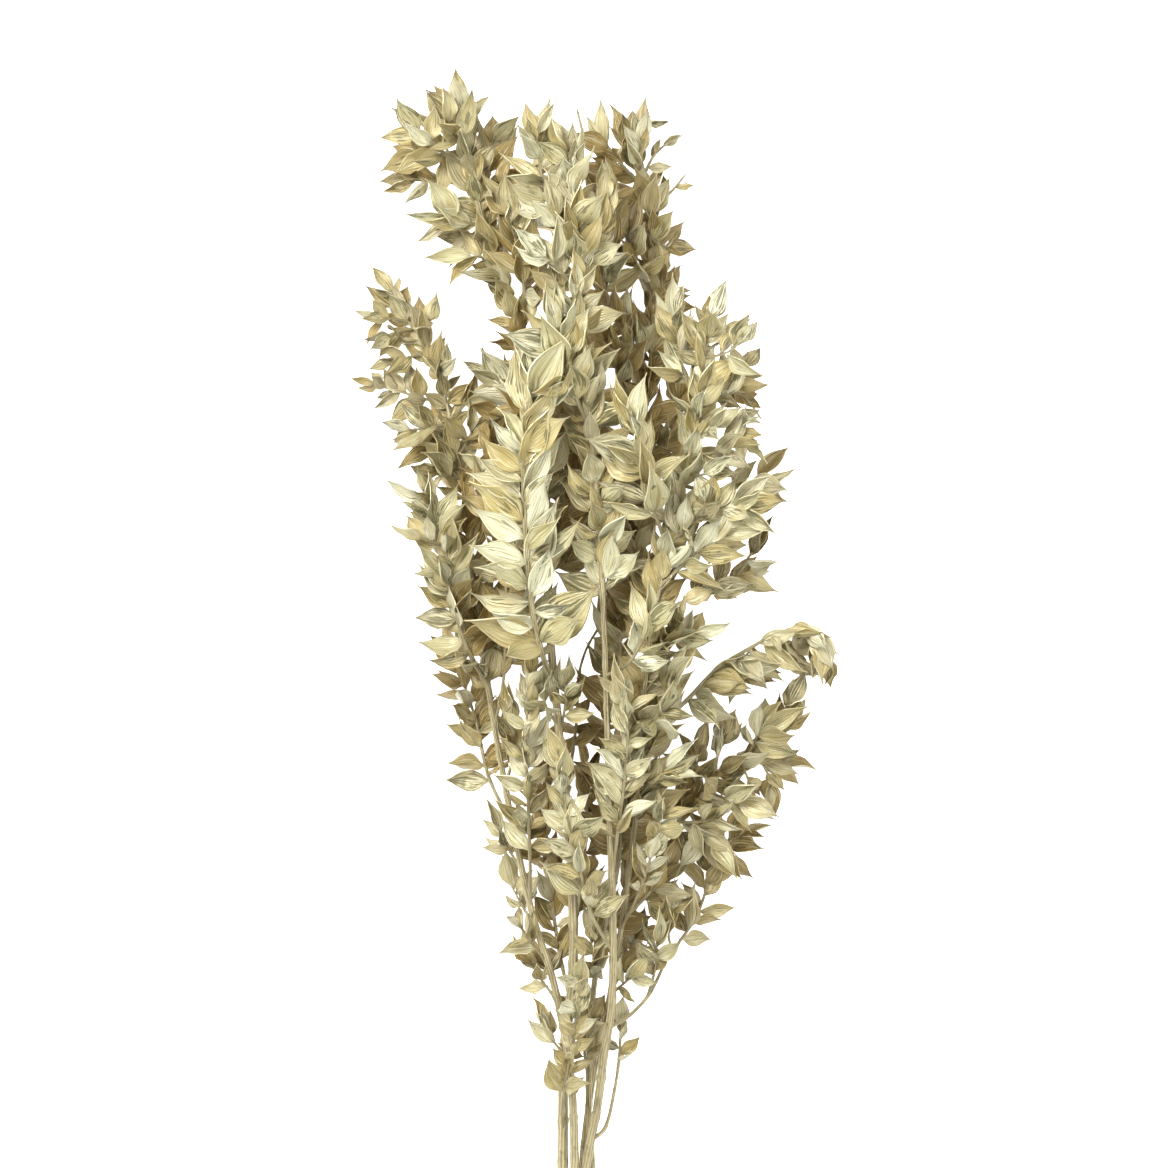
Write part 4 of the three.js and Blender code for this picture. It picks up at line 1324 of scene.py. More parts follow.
@dataclass(frozen=True)
class Bark:
    """Ridged bark round a stem: swollen at its nodes, flared at its foot and drawn in at its tip.

    Attributes:
        ring: Spacing of its rings along the stem.
        sides: How many it has.
        ridge: Height of its ridges, as a share of the radius.
        least: How many rings it has at least, less one.
        uneven: How much the radius strays.
        patch: How many rings stray together.
        mean: The radius between the ridges, as a share of the stem's.
        swelling: How much thicker the stem is at a node, and how far along.
        flare: How much thicker it is where it leaves another stem, and how far along.
        point: How far from the tip it is drawn in, and how thin it gets.
        wind: How far the ridges wind to and fro, in radians, and how slowly.
        uv_length: The length in which v counts from 0 to 1.
        rim: Width of the bark round a cut face.
        dish: Width and depth of the hollow in the cut face.
    """

    ring: float
    sides: int
    ridge: float
    least: int = 6
    uneven: float = 0.02
    patch: int = 4
    mean: float = 0.97
    swelling: Pair = (0.2, 1.6)
    flare: Pair = (0.5, 3.0)
    point: Pair = (1.5, 0.35)
    wind: Pair = (0.9, 90.0)
    uv_length: float = 25.0
    rim: float = 0.5
    dish: Pair = (1.2, -0.2)

    def build(self, name: str, stem: GrownStem, nodes: list[float], shift: Array) -> Model:
        """Models a stem.

        Args:
            name: What it is called.
            stem: The stem.
            nodes: The share of each node along the stem.
            shift: What takes a point of the routes to its place in the frame.

        Returns:
            The stem as a closed tube.
        """
        length = stem.axis.length
        shares = np.linspace(0, 1, max(self.least, round(length / self.ring)) + 1)
        at = shares * length
        radius = blend(*stem.plan.radii, shares)
        for node in nodes:
            radius = radius * (1 + self.swelling[0] * np.exp(-(((at - node * length) / self.swelling[1]) ** 2)))
        if stem.plan.on:
            radius = radius * (1 + self.flare[0] * np.exp(-at / self.flare[1]))
        radius = radius * np.clip((length - at) / self.point[0], self.point[1], 1)
        ridge = np.where(np.arange(self.sides) % 2, -1, 1) * self.ridge
        uneven = self.uneven * np.array([
            [swing(stem.seed, ring // self.patch, side, Draw.BARK) for side in range(self.sides)]
            for ring in range(len(shares))])
        radii = radius[:, None] * (self.mean + ridge[None, :] + uneven)
        twist = self.wind[0] * np.sin(at / self.wind[1] + stem.seed)
        tube = Tube(stem.axis.at(shares) + shift, radii, twist, length / self.uv_length).build(name)
        if stem.plan.on is None:
            self.cut_foot(tube, -stem.axis.along(0.0))
        return tube

    def cut_foot(self, tube: Model, outwards: Array) -> None:
        """Gives the foot a rim of bark round its cut face, which goes in the second material slot.

        Args:
            tube: The stem.
            outwards: The way that the cut face looks.
        """
        clear_selection()
        tube.select_set(True)
        bpy.context.view_layer.objects.active = tube
        bpy.ops.object.mode_set(mode="EDIT")
        bpy.ops.mesh.select_mode(type="FACE")
        bpy.ops.mesh.select_all(action="DESELECT")
        bpy.ops.object.mode_set(mode="OBJECT")
        ends = [face for face in tube.data.polygons if len(face.vertices) > 4]
        max(ends, key=lambda face: face.normal.dot(Vector(outwards))).select = True
        tube.data.materials.append(None)
        tube.data.materials.append(None)
        bpy.ops.object.mode_set(mode="EDIT")
        bpy.ops.mesh.inset(thickness=self.rim * MM, depth=0.0)
        tube.active_material_index = 1
        bpy.ops.object.material_slot_assign()
        bpy.ops.mesh.inset(thickness=self.dish[0] * MM, depth=self.dish[1] * MM)
        bpy.ops.object.mode_set(mode="OBJECT")


CANE_BARK = Bark(ring=3.6, sides=14, ridge=0.06)
TWIG_BARK = Bark(ring=2.6, sides=8, ridge=0.04)


@dataclass
class Cane:
    """One woody cane of the bunch with its side shoots, scales and leaves.

    Attributes:
        name: The frame's node, whose slot has the same name.
        number: Which cane it is, counted from 0.
        plan: Its stems.
        shift: What takes a point of the routes to its place in the frame.
        thick: A stem at least this thick at its foot gets the finer bark.
        bare_pitch: Spacing of the nodes where no leaves grow.
        room: How far a leaf keeps from others where it can.
        least_room: A ruled leaf that comes nearer than this is left out.
        reach: How far leaves may reach past the frame's box.
        seat: How far out on the radius a scale stands.
        scale_size: Of a scale on a hair-thin stem, and how much it grows with a stem's radius.
        scale_range: How much scales differ.
        scale_look: How far the scales of bare stretches look forwards.
        stem_room: Where on a stem the room that it takes starts, and the spacing of what takes it.
        smooth: Faces of the wood that meet under this angle look smooth, in degrees.
    """

    name: str
    number: int
    plan: tuple[Stem, ...]
    shift: Array
    thick: float = 1.6
    bare_pitch: float = 26.0
    room: float = 2.2
    least_room: float = 0.9
    reach: Point = (2.0, 4.0, 0.8)
    seat: float = 0.75
    scale_size: Pair = (0.5, 0.2)
    scale_range: Pair = (0.7, 1.1)
    scale_look: float = 0.3
    stem_room: Pair = (0.03, 4.0)
    smooth: float = 55.0
    stems: list[GrownStem] = field(default_factory=list)
    leaves: list[Leaf] = field(default_factory=list)
    waiting: list[tuple[GrownStem, int]] = field(default_factory=list)

    def grow(self, thicket: Thicket) -> None:
        """Lays the stems and takes their room.

        Args:
            thicket: The room that is taken.
        """
        by_name: dict[str | None, GrownStem] = {}
        start, spacing = self.stem_room
        for order, plan in enumerate(self.plan):
            stem = GrownStem(plan, CANE_SEEDS * (self.number + 1) + order, by_name.get(plan.on))
            by_name[plan.name] = stem
            self.stems.append(stem)
            thicket.add(stem.axis.at(np.linspace(start, 1, max(2, int(stem.axis.length / spacing)))))

    def add_leaf(self, pose: LeafPose, stem: GrownStem, index: int, thicket: Thicket) -> None:
        """Adds a leaf and takes its room."""
        self.leaves.append(Leaf(pose, (stem.seed, index)))
        thicket.add(pose.outline())

    def take_solid_leaves(self, solids: Solids, thicket: Thicket) -> None:
        """Sets the leaves that the frame's cane holds, just where it holds them.

        Args:
            solids: The frame's canes.
            thicket: The room that is taken.
        """
        for stem in self.stems:
            for index in range(stem.count):
                poses = [stem.leaf_pose(index, attempt) for attempt in range(TRIES)]
                held = next((pose for pose in poses if solids.hold(self.name, pose.midrib(1.0))), None)
                if held is None:
                    self.waiting.append((stem, index))
                else:
                    self.add_leaf(held, stem, index, thicket)

    def fits(self, pose: LeafPose) -> bool:
        """True where a leaf stays over the surface and within reach of the frame's box."""
        low, high = (np.array(corner) / MM - self.shift for corner in CAD_BOX)
        reach, points = np.array(self.reach), pose.outline()
        return bool((points > low - reach * (1, 1, 0)).all() and (points < high + reach).all())

    def fill_leaves(self, thicket: Thicket) -> None:
        """Sets the leaves that the frame leaves out, each in the first place that is free enough.

        Args:
            thicket: The room that is taken.
        """
        for stem, index in self.waiting:
            poses = [stem.leaf_pose(index, attempt, True) for attempt in range(TRIES)]
            best, most = None, 0.0
            for pose in filter(self.fits, poses):
                room = thicket.room(pose.outline())
                if best is None or room > most:
                    best, most = pose, room
                if room >= self.room:
                    break
            if best is not None and most >= self.least_room:
                self.add_leaf(best, stem, index, thicket)

    def nodes(self, stem: GrownStem) -> list[tuple[float, Array]]:
        """The nodes of a stem: those that carry leaves, and those of its bare stretches.

        Args:
            stem: The stem.

        Returns:
            The share of each node along the stem, and the way that its leaf or scale looks.
        """
        (start, end), length = stem.plan.leafy, stem.axis.length
        found = [(blend(start, end, (index + 0.5) / stem.count), stem.leaf_pose(index, 0).direction)
                 for index in range(stem.count)]
        bare: list[float] = []
        for low, high, pitch in ((0, start, self.bare_pitch), (end, 1, stem.plan.pitch)):
            count = max(1, round((high - low) * length / pitch)) if high > low else 0
            bare += [blend(low, high, (i + 0.5) / count) for i in range(count)]
        for index, share in enumerate(bare):
            turn = index * GOLDEN_ANGLE + stem.seed
            found.append((share, np.array([math.cos(turn), self.scale_look, math.sin(turn)])))
        return found

    def scales(self, stem: GrownStem, blank: ScaleBlank, scale: Model) -> list[Model]:
        """Sets a scale at every node of a stem.

        Args:
            stem: The stem.
            blank: The sizes of a scale.
            scale: A scale as modelled.

        Returns:
            The scales.
        """
        made = []
        for number, (share, looks) in enumerate(self.nodes(stem)):
            forward = stem.axis.along(share)
            out = looks - forward * looks.dot(forward)
            if np.linalg.norm(out) < MM:
                continue
            out = unit(out)
            radius = blend(*stem.plan.radii, share)
            foot = stem.axis.at(share)[0] + out * radius * self.seat + self.shift
            size = self.scale_size[0] + self.scale_size[1] * radius
            size *= blend(*self.scale_range, chance(stem.seed, number, Draw.SCALE))
            made.append(blank.place(scale, foot, forward, out, size))
        return made

    def build_wood(self, finishes: Finishes, blank: ScaleBlank, scale: Model) -> Model:
        """Models the stems with their scales and dresses them.

        Args:
            finishes: The materials.
            blank: The sizes of a scale.
            scale: A scale as modelled.

        Returns:
            The cane's wood in one piece.
        """
        parts = []
        for stem in self.stems:
            bark = CANE_BARK if stem.plan.radii[0] >= self.thick else TWIG_BARK
            nodes = [share for share, _ in self.nodes(stem)]
            parts.append(bark.build(f"{self.name}_{stem.plan.name}", stem, nodes, self.shift))
            parts += self.scales(stem, blank, scale)
        return make_piece(f"{self.name}_wood", parts, self.name, [finishes.bark, finishes.cut], self.smooth)

    def build_leaves(self, finishes: Finishes, blank: LeafBlank,
                     forms: dict[LeafForm, Model]) -> Model:
        """Copies a leaf into every place and dresses them.

        Args:
            finishes: The materials.
            blank: The sizes of a leaf.
            forms: The leaves as modelled.

        Returns:
            The cane's leaves in one piece.
        """
        kinds, parts = list(LeafForm), []
        for leaf in self.leaves:
            kind = kinds[int(chance(*leaf.keys, Draw.FORM) * len(kinds)) % len(kinds)]
            pose = replace(leaf.pose, root=leaf.pose.root + self.shift)
            parts.append(blank.place(forms[kind], replace(leaf, pose=pose)))
        return make_piece(f"{self.name}_leaves", parts, self.name, [finishes.leaf_face, finishes.leaf_back])


@dataclass(frozen=True)
class Shade:
    """How a leaf's place in the bunch darkens it: painted shade, with thinner paint, on leaves under others or
    near the surface.

    Attributes:
        patch: How wide a patch of the bunch is looked at.
        depth: A leaf this far under the top lies in full painted shade.
        low: Painted shade of a leaf that lies on the surface with nothing over it.
        level: Height from which a leaf takes no painted shade for lying low.
    """

    patch: float = 12.0
    depth: float = 46.0
    low: float = 0.4
    level: float = 85.0

    def key(self, point: Array) -> tuple[int, int]:
        """The patch that a point lies in, seen from above."""
        return int(point[0] // self.patch), int(point[1] // self.patch)

    def fall_on(self, leaves: list[Leaf]) -> None:
        """Tells each leaf how deep it lies under the rest, and how near to the surface.

        Args:
            leaves: Of the whole bunch.
        """
        tops: dict[tuple[int, int], float] = {}
        for leaf in leaves:
            for point in leaf.pose.outline():
                tops[self.key(point)] = max(tops.get(self.key(point), 0.0), float(point[2]))
        for leaf in leaves:
            middle = leaf.pose.midrib(0.5)
            under = max(0.0, tops.get(self.key(middle), 0.0) - middle[2]) / self.depth
            leaf.shade = min(1.0, under + self.low * max(0.0, 1 - middle[2] / self.level))


# ---------------------------------------------------------------- the tie


@dataclass
class Tie:
    """Twine wound side by side round the cut ends, with its two ends tucked in a small knot on top.

    Attributes:
        middle: Of the turns, on the routes.
        half_width: From its middle to the inside of the twine.
        half_height: From its middle to the inside of the twine, upwards.
        corner: Radius of the inside's corners.
        twine: The twine's diameter.
        length: How far the turns reach along the bunch.
        lay: The length in which a strand goes once round the twine.
        strands: That it is laid from.
        sides: Of the twine.
        hollow: Depth of the grooves between strands, as a share of the radius.
        start: Where on its way round the first turn starts.
        steps: Points in each turn.
        uv_points: Points in which v counts from 0 to 1.
        knot_steps: Points in the knot.
        knot_turns: How often the knotted piece goes round.
        knot_loop: How far it reaches sideways, along the bunch and up.
        knot_place: Where it lies from the middle, with its height over the turns in diameters of twine.
        knot_tails: How far it spreads in its middle, and how much further at its tails.
        tail_lean: How far its tails go sideways and along for their spread, and how far they sink.
        smooth: Faces that meet under this angle look smooth, in degrees.
    """

    middle: Point = (0.9, 26.0, 8.8)
    half_width: float = 13.4
    half_height: float = 7.2
    corner: float = 5.0
    twine: float = 1.6
    length: float = 13.0
    lay: float = 5.0
    strands: int = 3
    sides: int = 12
    hollow: float = 0.22
    start: float = 0.47
    steps: int = 90
    uv_points: float = 10.0
    knot_steps: int = 120
    knot_turns: float = 1.5
    knot_loop: Point = (1.7, 1.6, 0.75)
    knot_place: Point = (3.0, -2.6, 1.35)
    knot_tails: Pair = (1.9, 5.2)
    tail_lean: Point = (1.6, 0.9, -0.3)
    smooth: float = 60.0

    def outline(self, turn: float) -> Array:
        """A point of the turns, seen along the bunch.

        Args:
            turn: How many times the twine has gone round.

        Returns:
            The point's x and z from the tie's middle.
        """
        radius = self.corner + self.twine / 2
        flat_x, flat_z = self.half_width - self.corner, self.half_height - self.corner
        arc = math.pi / 2 * radius
        runs = (2 * flat_x, arc, 2 * flat_z, arc) * 2
        left = (turn % 1.0) * sum(runs)
        heading, point = 0.0, np.array([-flat_x, -flat_z - radius])
        for i, run in enumerate(runs):
            part = min(left, run)
            if i % 2 == 0:
                point = point + part * np.array([math.cos(heading), math.sin(heading)])
            else:
                centre = point + radius * np.array([-math.sin(heading), math.cos(heading)])
                heading += part / radius
                point = centre - radius * np.array([-math.sin(heading), math.cos(heading)])
            left -= part
            if left <= 0:
                break
        return point

    def wound(self) -> Array:
        """Points along the turns, from one end to the other."""
        turns = int(self.length / self.twine)
        points = []
        for share in np.linspace(0, 1, turns * self.steps + 1):
            x, z = self.outline(self.start + (turns - 1) * share)
            points.append((x, blend(-1, 1, share) * (self.length - self.twine) / 2, z))
        return np.array(points) + self.middle

    def knot(self) -> Array:
        """Points along the short piece that is knotted on top, from tail to tail."""
        share = np.linspace(0, 1, self.knot_steps + 1)
        turn = (share - 0.5) * 2 * math.pi * self.knot_turns
        out = np.abs(2 * share - 1)
        spread = self.knot_tails[0] + self.knot_tails[1] * out**3
        wide, long, high = self.knot_loop
        x = np.sin(turn) * wide + (share - 0.5) * spread * self.tail_lean[0]
        y = np.cos(turn) * long * (1 - out**2) + spread * self.tail_lean[1]
        z = np.sin(2 * turn) * high * (1 - out) + out * self.tail_lean[2]
        place = (self.knot_place[0], self.knot_place[1], self.half_height + self.twine * self.knot_place[2])
        return np.column_stack([x, y, z]) + place + self.middle

    def tube(self, name: str, centres: Array) -> Model:
        """Models twine along a line, with its strands turning round each other.

        Args:
            name: What it is called.
            centres: Points along it.

        Returns:
            The twine.
        """
        lobes = np.abs(np.cos(np.arange(self.sides) / self.sides * self.strands * math.pi))
        radii = np.tile(self.twine / 2 * (1 - self.hollow + self.hollow * lobes), (len(centres), 1))
        steps = np.linalg.norm(np.diff(centres, axis=0), axis=1)
        twist = np.concatenate([[0.0], np.cumsum(steps)]) / self.lay * 2 * math.pi / self.strands
        return Tube(centres, radii, twist, len(centres) / self.uv_points).build(name)

    def build(self, finishes: Finishes, shift: Array) -> Model:
        """Models the tie and dresses it.

        Args:
            finishes: The materials.
            shift: What takes a point of the routes to its place in the frame.

        Returns:
            The tie in one piece.
        """
        parts = [self.tube("tie_turns", self.wound() + shift), self.tube("tie_knot", self.knot() + shift)]
        return make_piece("twine_tie", parts, "tie", [finishes.twine], self.smooth)


# ---------------------------------------------------------------- the studio


@dataclass(frozen=True)
class SoftLight:
    """A square soft light that looks at the middle of the picture.

    Attributes:
        name: Of the light.
        place: Where it hangs, in metres.
        size: Its side, in metres.
        power: In watts.
    """

    name: str
    place: Point
    size: float
    power: float

    def hang(self, target: Point) -> None:
        """Hangs the light.

        Args:
            target: What it looks at, in metres.
        """
        lamp = bpy.data.lights.new(self.name, "AREA")
        lamp.size, lamp.energy = self.size, self.power
        light = bpy.data.objects.new(self.name, lamp)
        light.location = self.place
        light.rotation_euler = (Vector(target) - Vector(self.place)).to_track_quat("-Z", "Y").to_euler()
        bpy.context.scene.collection.objects.link(light)


@dataclass(frozen=True)
class Studio:
    """A pale floor, soft light and a camera that looks straight down on the bunch.

    Attributes:
        span: How much of the bunch the picture takes in, at the level of the plan grid.
        sensor: Width of the camera's sensor.
        sight: How far the camera sees, in metres.
        floor: Half the width of the floor, in metres.
        paper: Its colour.
        glow: How brightly the floor shines on the bunch, and how brightly it is seen.
        sky: Strength of the light from all round.
        lights: The soft lights.
    """

    span: float = 700.8
    sensor: float = 36.0
    sight: float = 60.0
    floor: float = 9.0
    paper: Colour = srgb(250, 251, 250)
    glow: Pair = (0.7, 1.0)
    sky: float = 0.76
    lights: tuple[SoftLight, ...] = (SoftLight("key", (-1.0, 1.0, 1.7), 1.0, 66.0),
                                     SoftLight("fill", (1.3, -0.4, 1.5), 1.2, 20.0))

    def build(self, shift: Array) -> None:
        """Sets up the floor, the lights and the camera.

        Args:
            shift: What takes a point of the routes to its place in the frame.
        """
        scene = bpy.context.scene
        x, y = (np.array(GRID_PLACE) + shift[:2]) * MM
        view = bpy.data.cameras.new("camera")
        view.sensor_width = self.sensor
        view.lens = self.sensor * GRID_EYE / self.span
        view.clip_end = self.sight
        camera = bpy.data.objects.new("camera", view)
        camera.location = (x, y, (GRID_LEVEL + GRID_EYE) * MM)
        scene.collection.objects.link(camera)
        scene.camera = camera
        scene.view_settings.view_transform = "Standard"

        clear_selection()
        bpy.ops.mesh.primitive_plane_add(size=2 * self.floor, location=(0, 0, 0))
        floor = bpy.context.object
        floor.name = "floor"
        material, board, shader = new_material("floor")
        seen = board.made("ShaderNodeLightPath", {}, "Is Camera Ray")
        board.feed(shader.inputs, {"Base Color": self.paper, "Roughness": 0.9, "Emission Color": WHITE,
                                   "Emission Strength": seen.span(0, 1, *self.glow)})
        floor.data.materials.append(material)

        scene.world = bpy.data.worlds.new("studio")
        scene.world.use_nodes = True
        sky = scene.world.node_tree.nodes["Background"]
        Board(scene.world.node_tree).feed(sky.inputs, {"Color": WHITE, "Strength": self.sky})
        for light in self.lights:
            light.hang((x, y, 0))


# ---------------------------------------------------------------- the routes of the stems


LEFT_CANE = (
    Stem("main", (27, 18), ((573.5, 1263, 11.5), (574.5, 1150, 15), (570, 1070, 27), (554, 985, 33),
         (530, 905, 34), (504, 780, 33), (487, 680, 33), (473, 570, 33), (462, 480, 32), (447, 405, 28),
         (425, 345, 20), (400, 312, 13), (391, 290, 10)),
         radii=(2.8, 0.7), leafy=(0.58, 1), pitch=4.2, on=None),
    Stem("twig", (20, 17), ((447, 405, 28), (425, 399, 24), (395, 390, 19), (372, 384, 16)), leafy=(0.2, 1)),
    Stem("upper", (25, 21), ((489, 685, 33), (468, 650, 46), (456, 610, 54), (450, 570, 58), (438, 530, 60),
         (424, 492, 58)), radii=(1.4, 0.6), leafy=(0.12, 1), pitch=4.4),
    Stem("low", (23, 20), ((516, 820, 31), (499, 800, 24), (488, 775, 18), (482, 750, 15), (475, 718, 12),
         (464, 684, 10), (453, 655, 9)), radii=(1.2, 0.6), leafy=(0.25, 1)),
    Stem("inner", (21, 17), ((535, 905, 30), (530, 860, 46), (528, 800, 60), (526, 740, 68), (529, 685, 70),
         (534, 650, 70)), radii=(1.2, 0.6), leafy=(0.2, 1), pitch=5.5),
    Stem("twig_b", (18, 16), ((428, 350, 22), (410, 357, 24), (391, 362, 25)), pitch=5.5),
    Stem("fill", (24, 20), ((498, 726, 33), (503, 684, 42), (506, 635, 48), (506, 585, 50), (499, 538, 50),
         (491, 490, 49), (486, 450, 47)), radii=(1.1, 0.6), leafy=(0.2, 1)),
    Stem("twig_c", (20, 17), ((452, 424, 30), (430, 428, 36), (408, 430, 40)), leafy=(0.2, 1)),
    Stem("twig_d", (22, 18), ((462, 478, 32), (446, 476, 37), (436, 474, 40)), leafy=(0.25, 1), pitch=5.5),
    Stem("twig_e", (20, 18), ((451, 418, 29), (466, 404, 34), (474, 396, 36)), pitch=5.5),
    Stem("low_b", (20, 18), ((536, 930, 34), (520, 902, 28), (509, 880, 24)), pitch=5.5),
    Stem("low_c", (21, 19), ((556, 1000, 32), (540, 978, 30), (531, 962, 29))),
    Stem("low_d", (20, 18), ((568, 1060, 28), (554, 1042, 27), (547, 1026, 26))),
    Stem("low_e", (20, 18), ((524, 870, 34), (508, 848, 32), (500, 832, 30))),
    Stem("top", (19, 17), ((408, 322, 15), (392, 319, 19), (377, 321, 20))),
    Stem("upper_b", (22, 19), ((455, 604, 54), (447, 584, 60), (440, 572, 62)), leafy=(0.25, 1), on="upper"),
    Stem("top_b", (20, 18), ((414, 329, 16), (399, 332, 24), (389, 337, 27))),
    Stem("top_c", (19, 17), ((419, 336, 18), (424, 327, 25), (428, 319, 28))),
    Stem("twig_f", (21, 18), ((443, 392, 27), (442, 377, 34), (444, 366, 36))),
    Stem("twig_g", (22, 19), ((457, 452, 31), (441, 449, 24), (430, 447, 21))),
    Stem("upper_c", (22, 19), ((442, 545, 59), (429, 541, 66), (420, 538, 68)), on="upper"),
    Stem("low_f", (21, 19), ((546, 966, 33), (531, 942, 40), (519, 926, 43))),
    Stem("fill_b", (23, 20), ((505, 785, 33), (512, 762, 41), (513, 735, 45), (509, 712, 46)),
         radii=(1, 0.5), leafy=(0.25, 1)),
    Stem("twig_h", (22, 20), ((458, 455, 31), (467, 442, 38), (472, 431, 40))),
)

THICK_CANE = (
    Stem("main", (26, 25), ((562.7, 1268, 8), (562.7, 1150, 9.5), (564, 1060, 17), (573, 965, 35),
         (570, 850, 50), (560, 740, 60), (549, 620, 66), (546, 500, 66), (538, 400, 60), (520, 330, 54),
         (500, 270, 50), (481, 212, 48), (471, 165, 49), (463, 108, 50)),
         radii=(3.4, 1.5), leafy=(0.64, 1), pitch=4.6, on=None),
    Stem("front", (34, 33), ((554, 690, 63), (541, 650, 80), (531, 600, 93), (526, 540, 101), (523, 470, 104),
         (527, 410, 104), (533, 386, 103)), radii=(1.7, 0.8), leafy=(0.15, 1), pitch=4.5),
    Stem("right", (16, 14), ((565, 795, 54), (573, 750, 44), (577, 715, 37), (578, 680, 33), (586, 650, 30),
         (600, 625, 28), (613, 598, 26)), radii=(1.2, 0.6), leafy=(0.2, 0.5), pitch=9),
    Stem("top_a", (26, 23), ((486, 228, 49), (464, 222, 56), (446, 218, 58)),
         radii=(1, 0.6), leafy=(0.25, 1)),
    Stem("top_b", (24, 22), ((474, 192, 48), (448, 182, 40), (412, 180, 36)), radii=(1, 0.6), pitch=5.5),
    Stem("top_c", (26, 25), ((471, 166, 49), (446, 155, 56), (426, 139, 60), (415, 127, 61)),
         radii=(1, 0.6), pitch=5.5),
    Stem("top_d", (25, 22), ((478, 204, 48), (490, 172, 40), (492, 140, 36)), radii=(1, 0.6), leafy=(0.2, 1)),
    Stem("fill", (27, 24), ((519, 330, 54), (524, 290, 62), (516, 245, 64), (506, 210, 60)),
         radii=(1.1, 0.6), leafy=(0.2, 1)),
    Stem("back_a", (23, 19), ((570, 1000, 28), (558, 945, 22), (550, 880, 18), (545, 810, 17), (547, 752, 18)),
         radii=(1.2, 0.6), leafy=(0.12, 1), pitch=5.2),
    Stem("back_b", (22, 18), ((572, 938, 38), (581, 885, 30), (587, 820, 26), (584, 765, 24)),
         radii=(1.2, 0.6), leafy=(0.12, 1), pitch=5.4),
    Stem("back_c", (28, 24), ((549, 602, 66), (556, 545, 56), (566, 490, 46), (568, 435, 42)),
         radii=(1.2, 0.6), leafy=(0.15, 1)),
    Stem("back_d", (26, 23), ((541, 425, 62), (518, 398, 52), (492, 376, 46)),
         radii=(1.1, 0.6), leafy=(0.2, 1), pitch=5.2),
    Stem("front_low", (19, 16), ((564, 1132, 11), (562, 1110, 20), (564, 1090, 30), (571, 1052, 38),
         (577, 1010, 45), (582, 975, 50)), radii=(1.1, 0.6), leafy=(0.25, 1)),
    Stem("top_e", (25, 23), ((470, 158, 49), (454, 134, 56), (446, 118, 58)), pitch=5.5),
    Stem("top_f", (24, 22), ((476, 190, 48), (492, 187, 55), (504, 185, 58)), pitch=5.5),
    Stem("top_g", (25, 23), ((497, 262, 50), (480, 257, 54), (470, 257, 56)), pitch=5.5),
    Stem("top_h", (25, 23), ((468, 148, 49), (444, 154, 44), (422, 157, 41)), pitch=5.5),
    Stem("top_i", (24, 22), ((485, 224, 49), (472, 234, 43), (463, 237, 40)), pitch=5.5),
    Stem("back_e", (25, 22), ((538, 402, 60), (516, 410, 50), (499, 420, 44)),
         radii=(1, 0.6), leafy=(0.25, 1), pitch=5.2),
    Stem("front_b", (22, 19), ((559, 735, 60), (565, 706, 66), (565, 684, 69))),
    Stem("front_c", (23, 20), ((559, 728, 60), (547, 708, 68), (541, 690, 72))),
)

CENTRE_CANE = (
    Stem("main", (26, 25), ((585.2, 1260, 9.5), (585.2, 1176, 13), (597, 1110, 24), (604, 1055, 33),
         (612, 1000, 43), (613, 920, 56), (609, 800, 72), (606, 680, 80), (601, 560, 84), (592, 440, 88),
         (578, 370, 92), (576, 300, 92), (574, 240, 88), (570, 170, 82), (562, 125, 78)),
         radii=(2.9, 0.8), leafy=(0.59, 0.98), pitch=4.2, on=None),
    Stem("low", (18, 17), ((589, 1140, 20), (605, 1128, 19), (613, 1098, 21), (619, 1060, 24),
         (621, 1022, 26)), radii=(1.3, 0.6), leafy=(0.6, 1), pitch=6),
    Stem("right", (24, 19), ((606, 1025, 36), (630, 1015, 31), (650, 993, 26), (668, 958, 22), (697, 915, 18),
         (710, 870, 15), (712, 836, 14)), radii=(1.3, 0.6), leafy=(0.5, 1), pitch=5.5),
    Stem("right_tip", (22, 18), ((710, 868, 15), (728, 842, 13), (746, 832, 10)), leafy=(0.2, 1), on="right"),
    Stem("twig", (25, 21), ((606, 677, 80), (628, 664, 92), (642, 640, 98), (650, 612, 100)),
         radii=(1.2, 0.6), leafy=(0.35, 1), pitch=5.5),
    Stem("left", (26, 22), ((574, 262, 90), (553, 215, 84), (541, 172, 78), (537, 132, 74)),
         radii=(1.2, 0.6), leafy=(0.2, 1)),
    Stem("stub", (15, 14), ((571, 180, 84), (582, 140, 88), (577, 108, 90)),
         radii=(1, 0.7), leafy=(0.2, 0.4), pitch=6),
    Stem("fill_a", (26, 20), ((576, 284, 91), (592, 252, 84), (602, 215, 78), (604, 190, 74)),
         radii=(1.1, 0.6), leafy=(0.15, 1)),
    Stem("fill_b", (24, 20), ((612, 951, 50), (592, 915, 60), (580, 870, 68), (566, 810, 74), (562, 762, 76)),
         radii=(1.2, 0.6), leafy=(0.2, 1)),
    Stem("front_a", (24, 20), ((611, 880, 62), (618, 830, 72), (625, 775, 80), (628, 722, 85), (622, 690, 87)),
         radii=(1.2, 0.6), leafy=(0.2, 1)),
    Stem("front_b", (30, 27), ((590, 430, 88), (574, 392, 100), (562, 352, 106), (555, 322, 106)),
         radii=(1.2, 0.6), leafy=(0.2, 1)),
    Stem("left_b", (25, 22), ((575, 288, 91), (556, 266, 97), (544, 256, 99)), pitch=5.5),
    Stem("right_low", (22, 19), ((648, 996, 26), (655, 970, 34), (657, 942, 38)), on="right"),
    Stem("right_mid", (22, 19), ((672, 952, 21), (668, 930, 29), (671, 908, 33)), on="right"),
    Stem("left_c", (25, 22), ((576, 308, 92), (563, 296, 86), (554, 286, 83)), pitch=5.5),
)

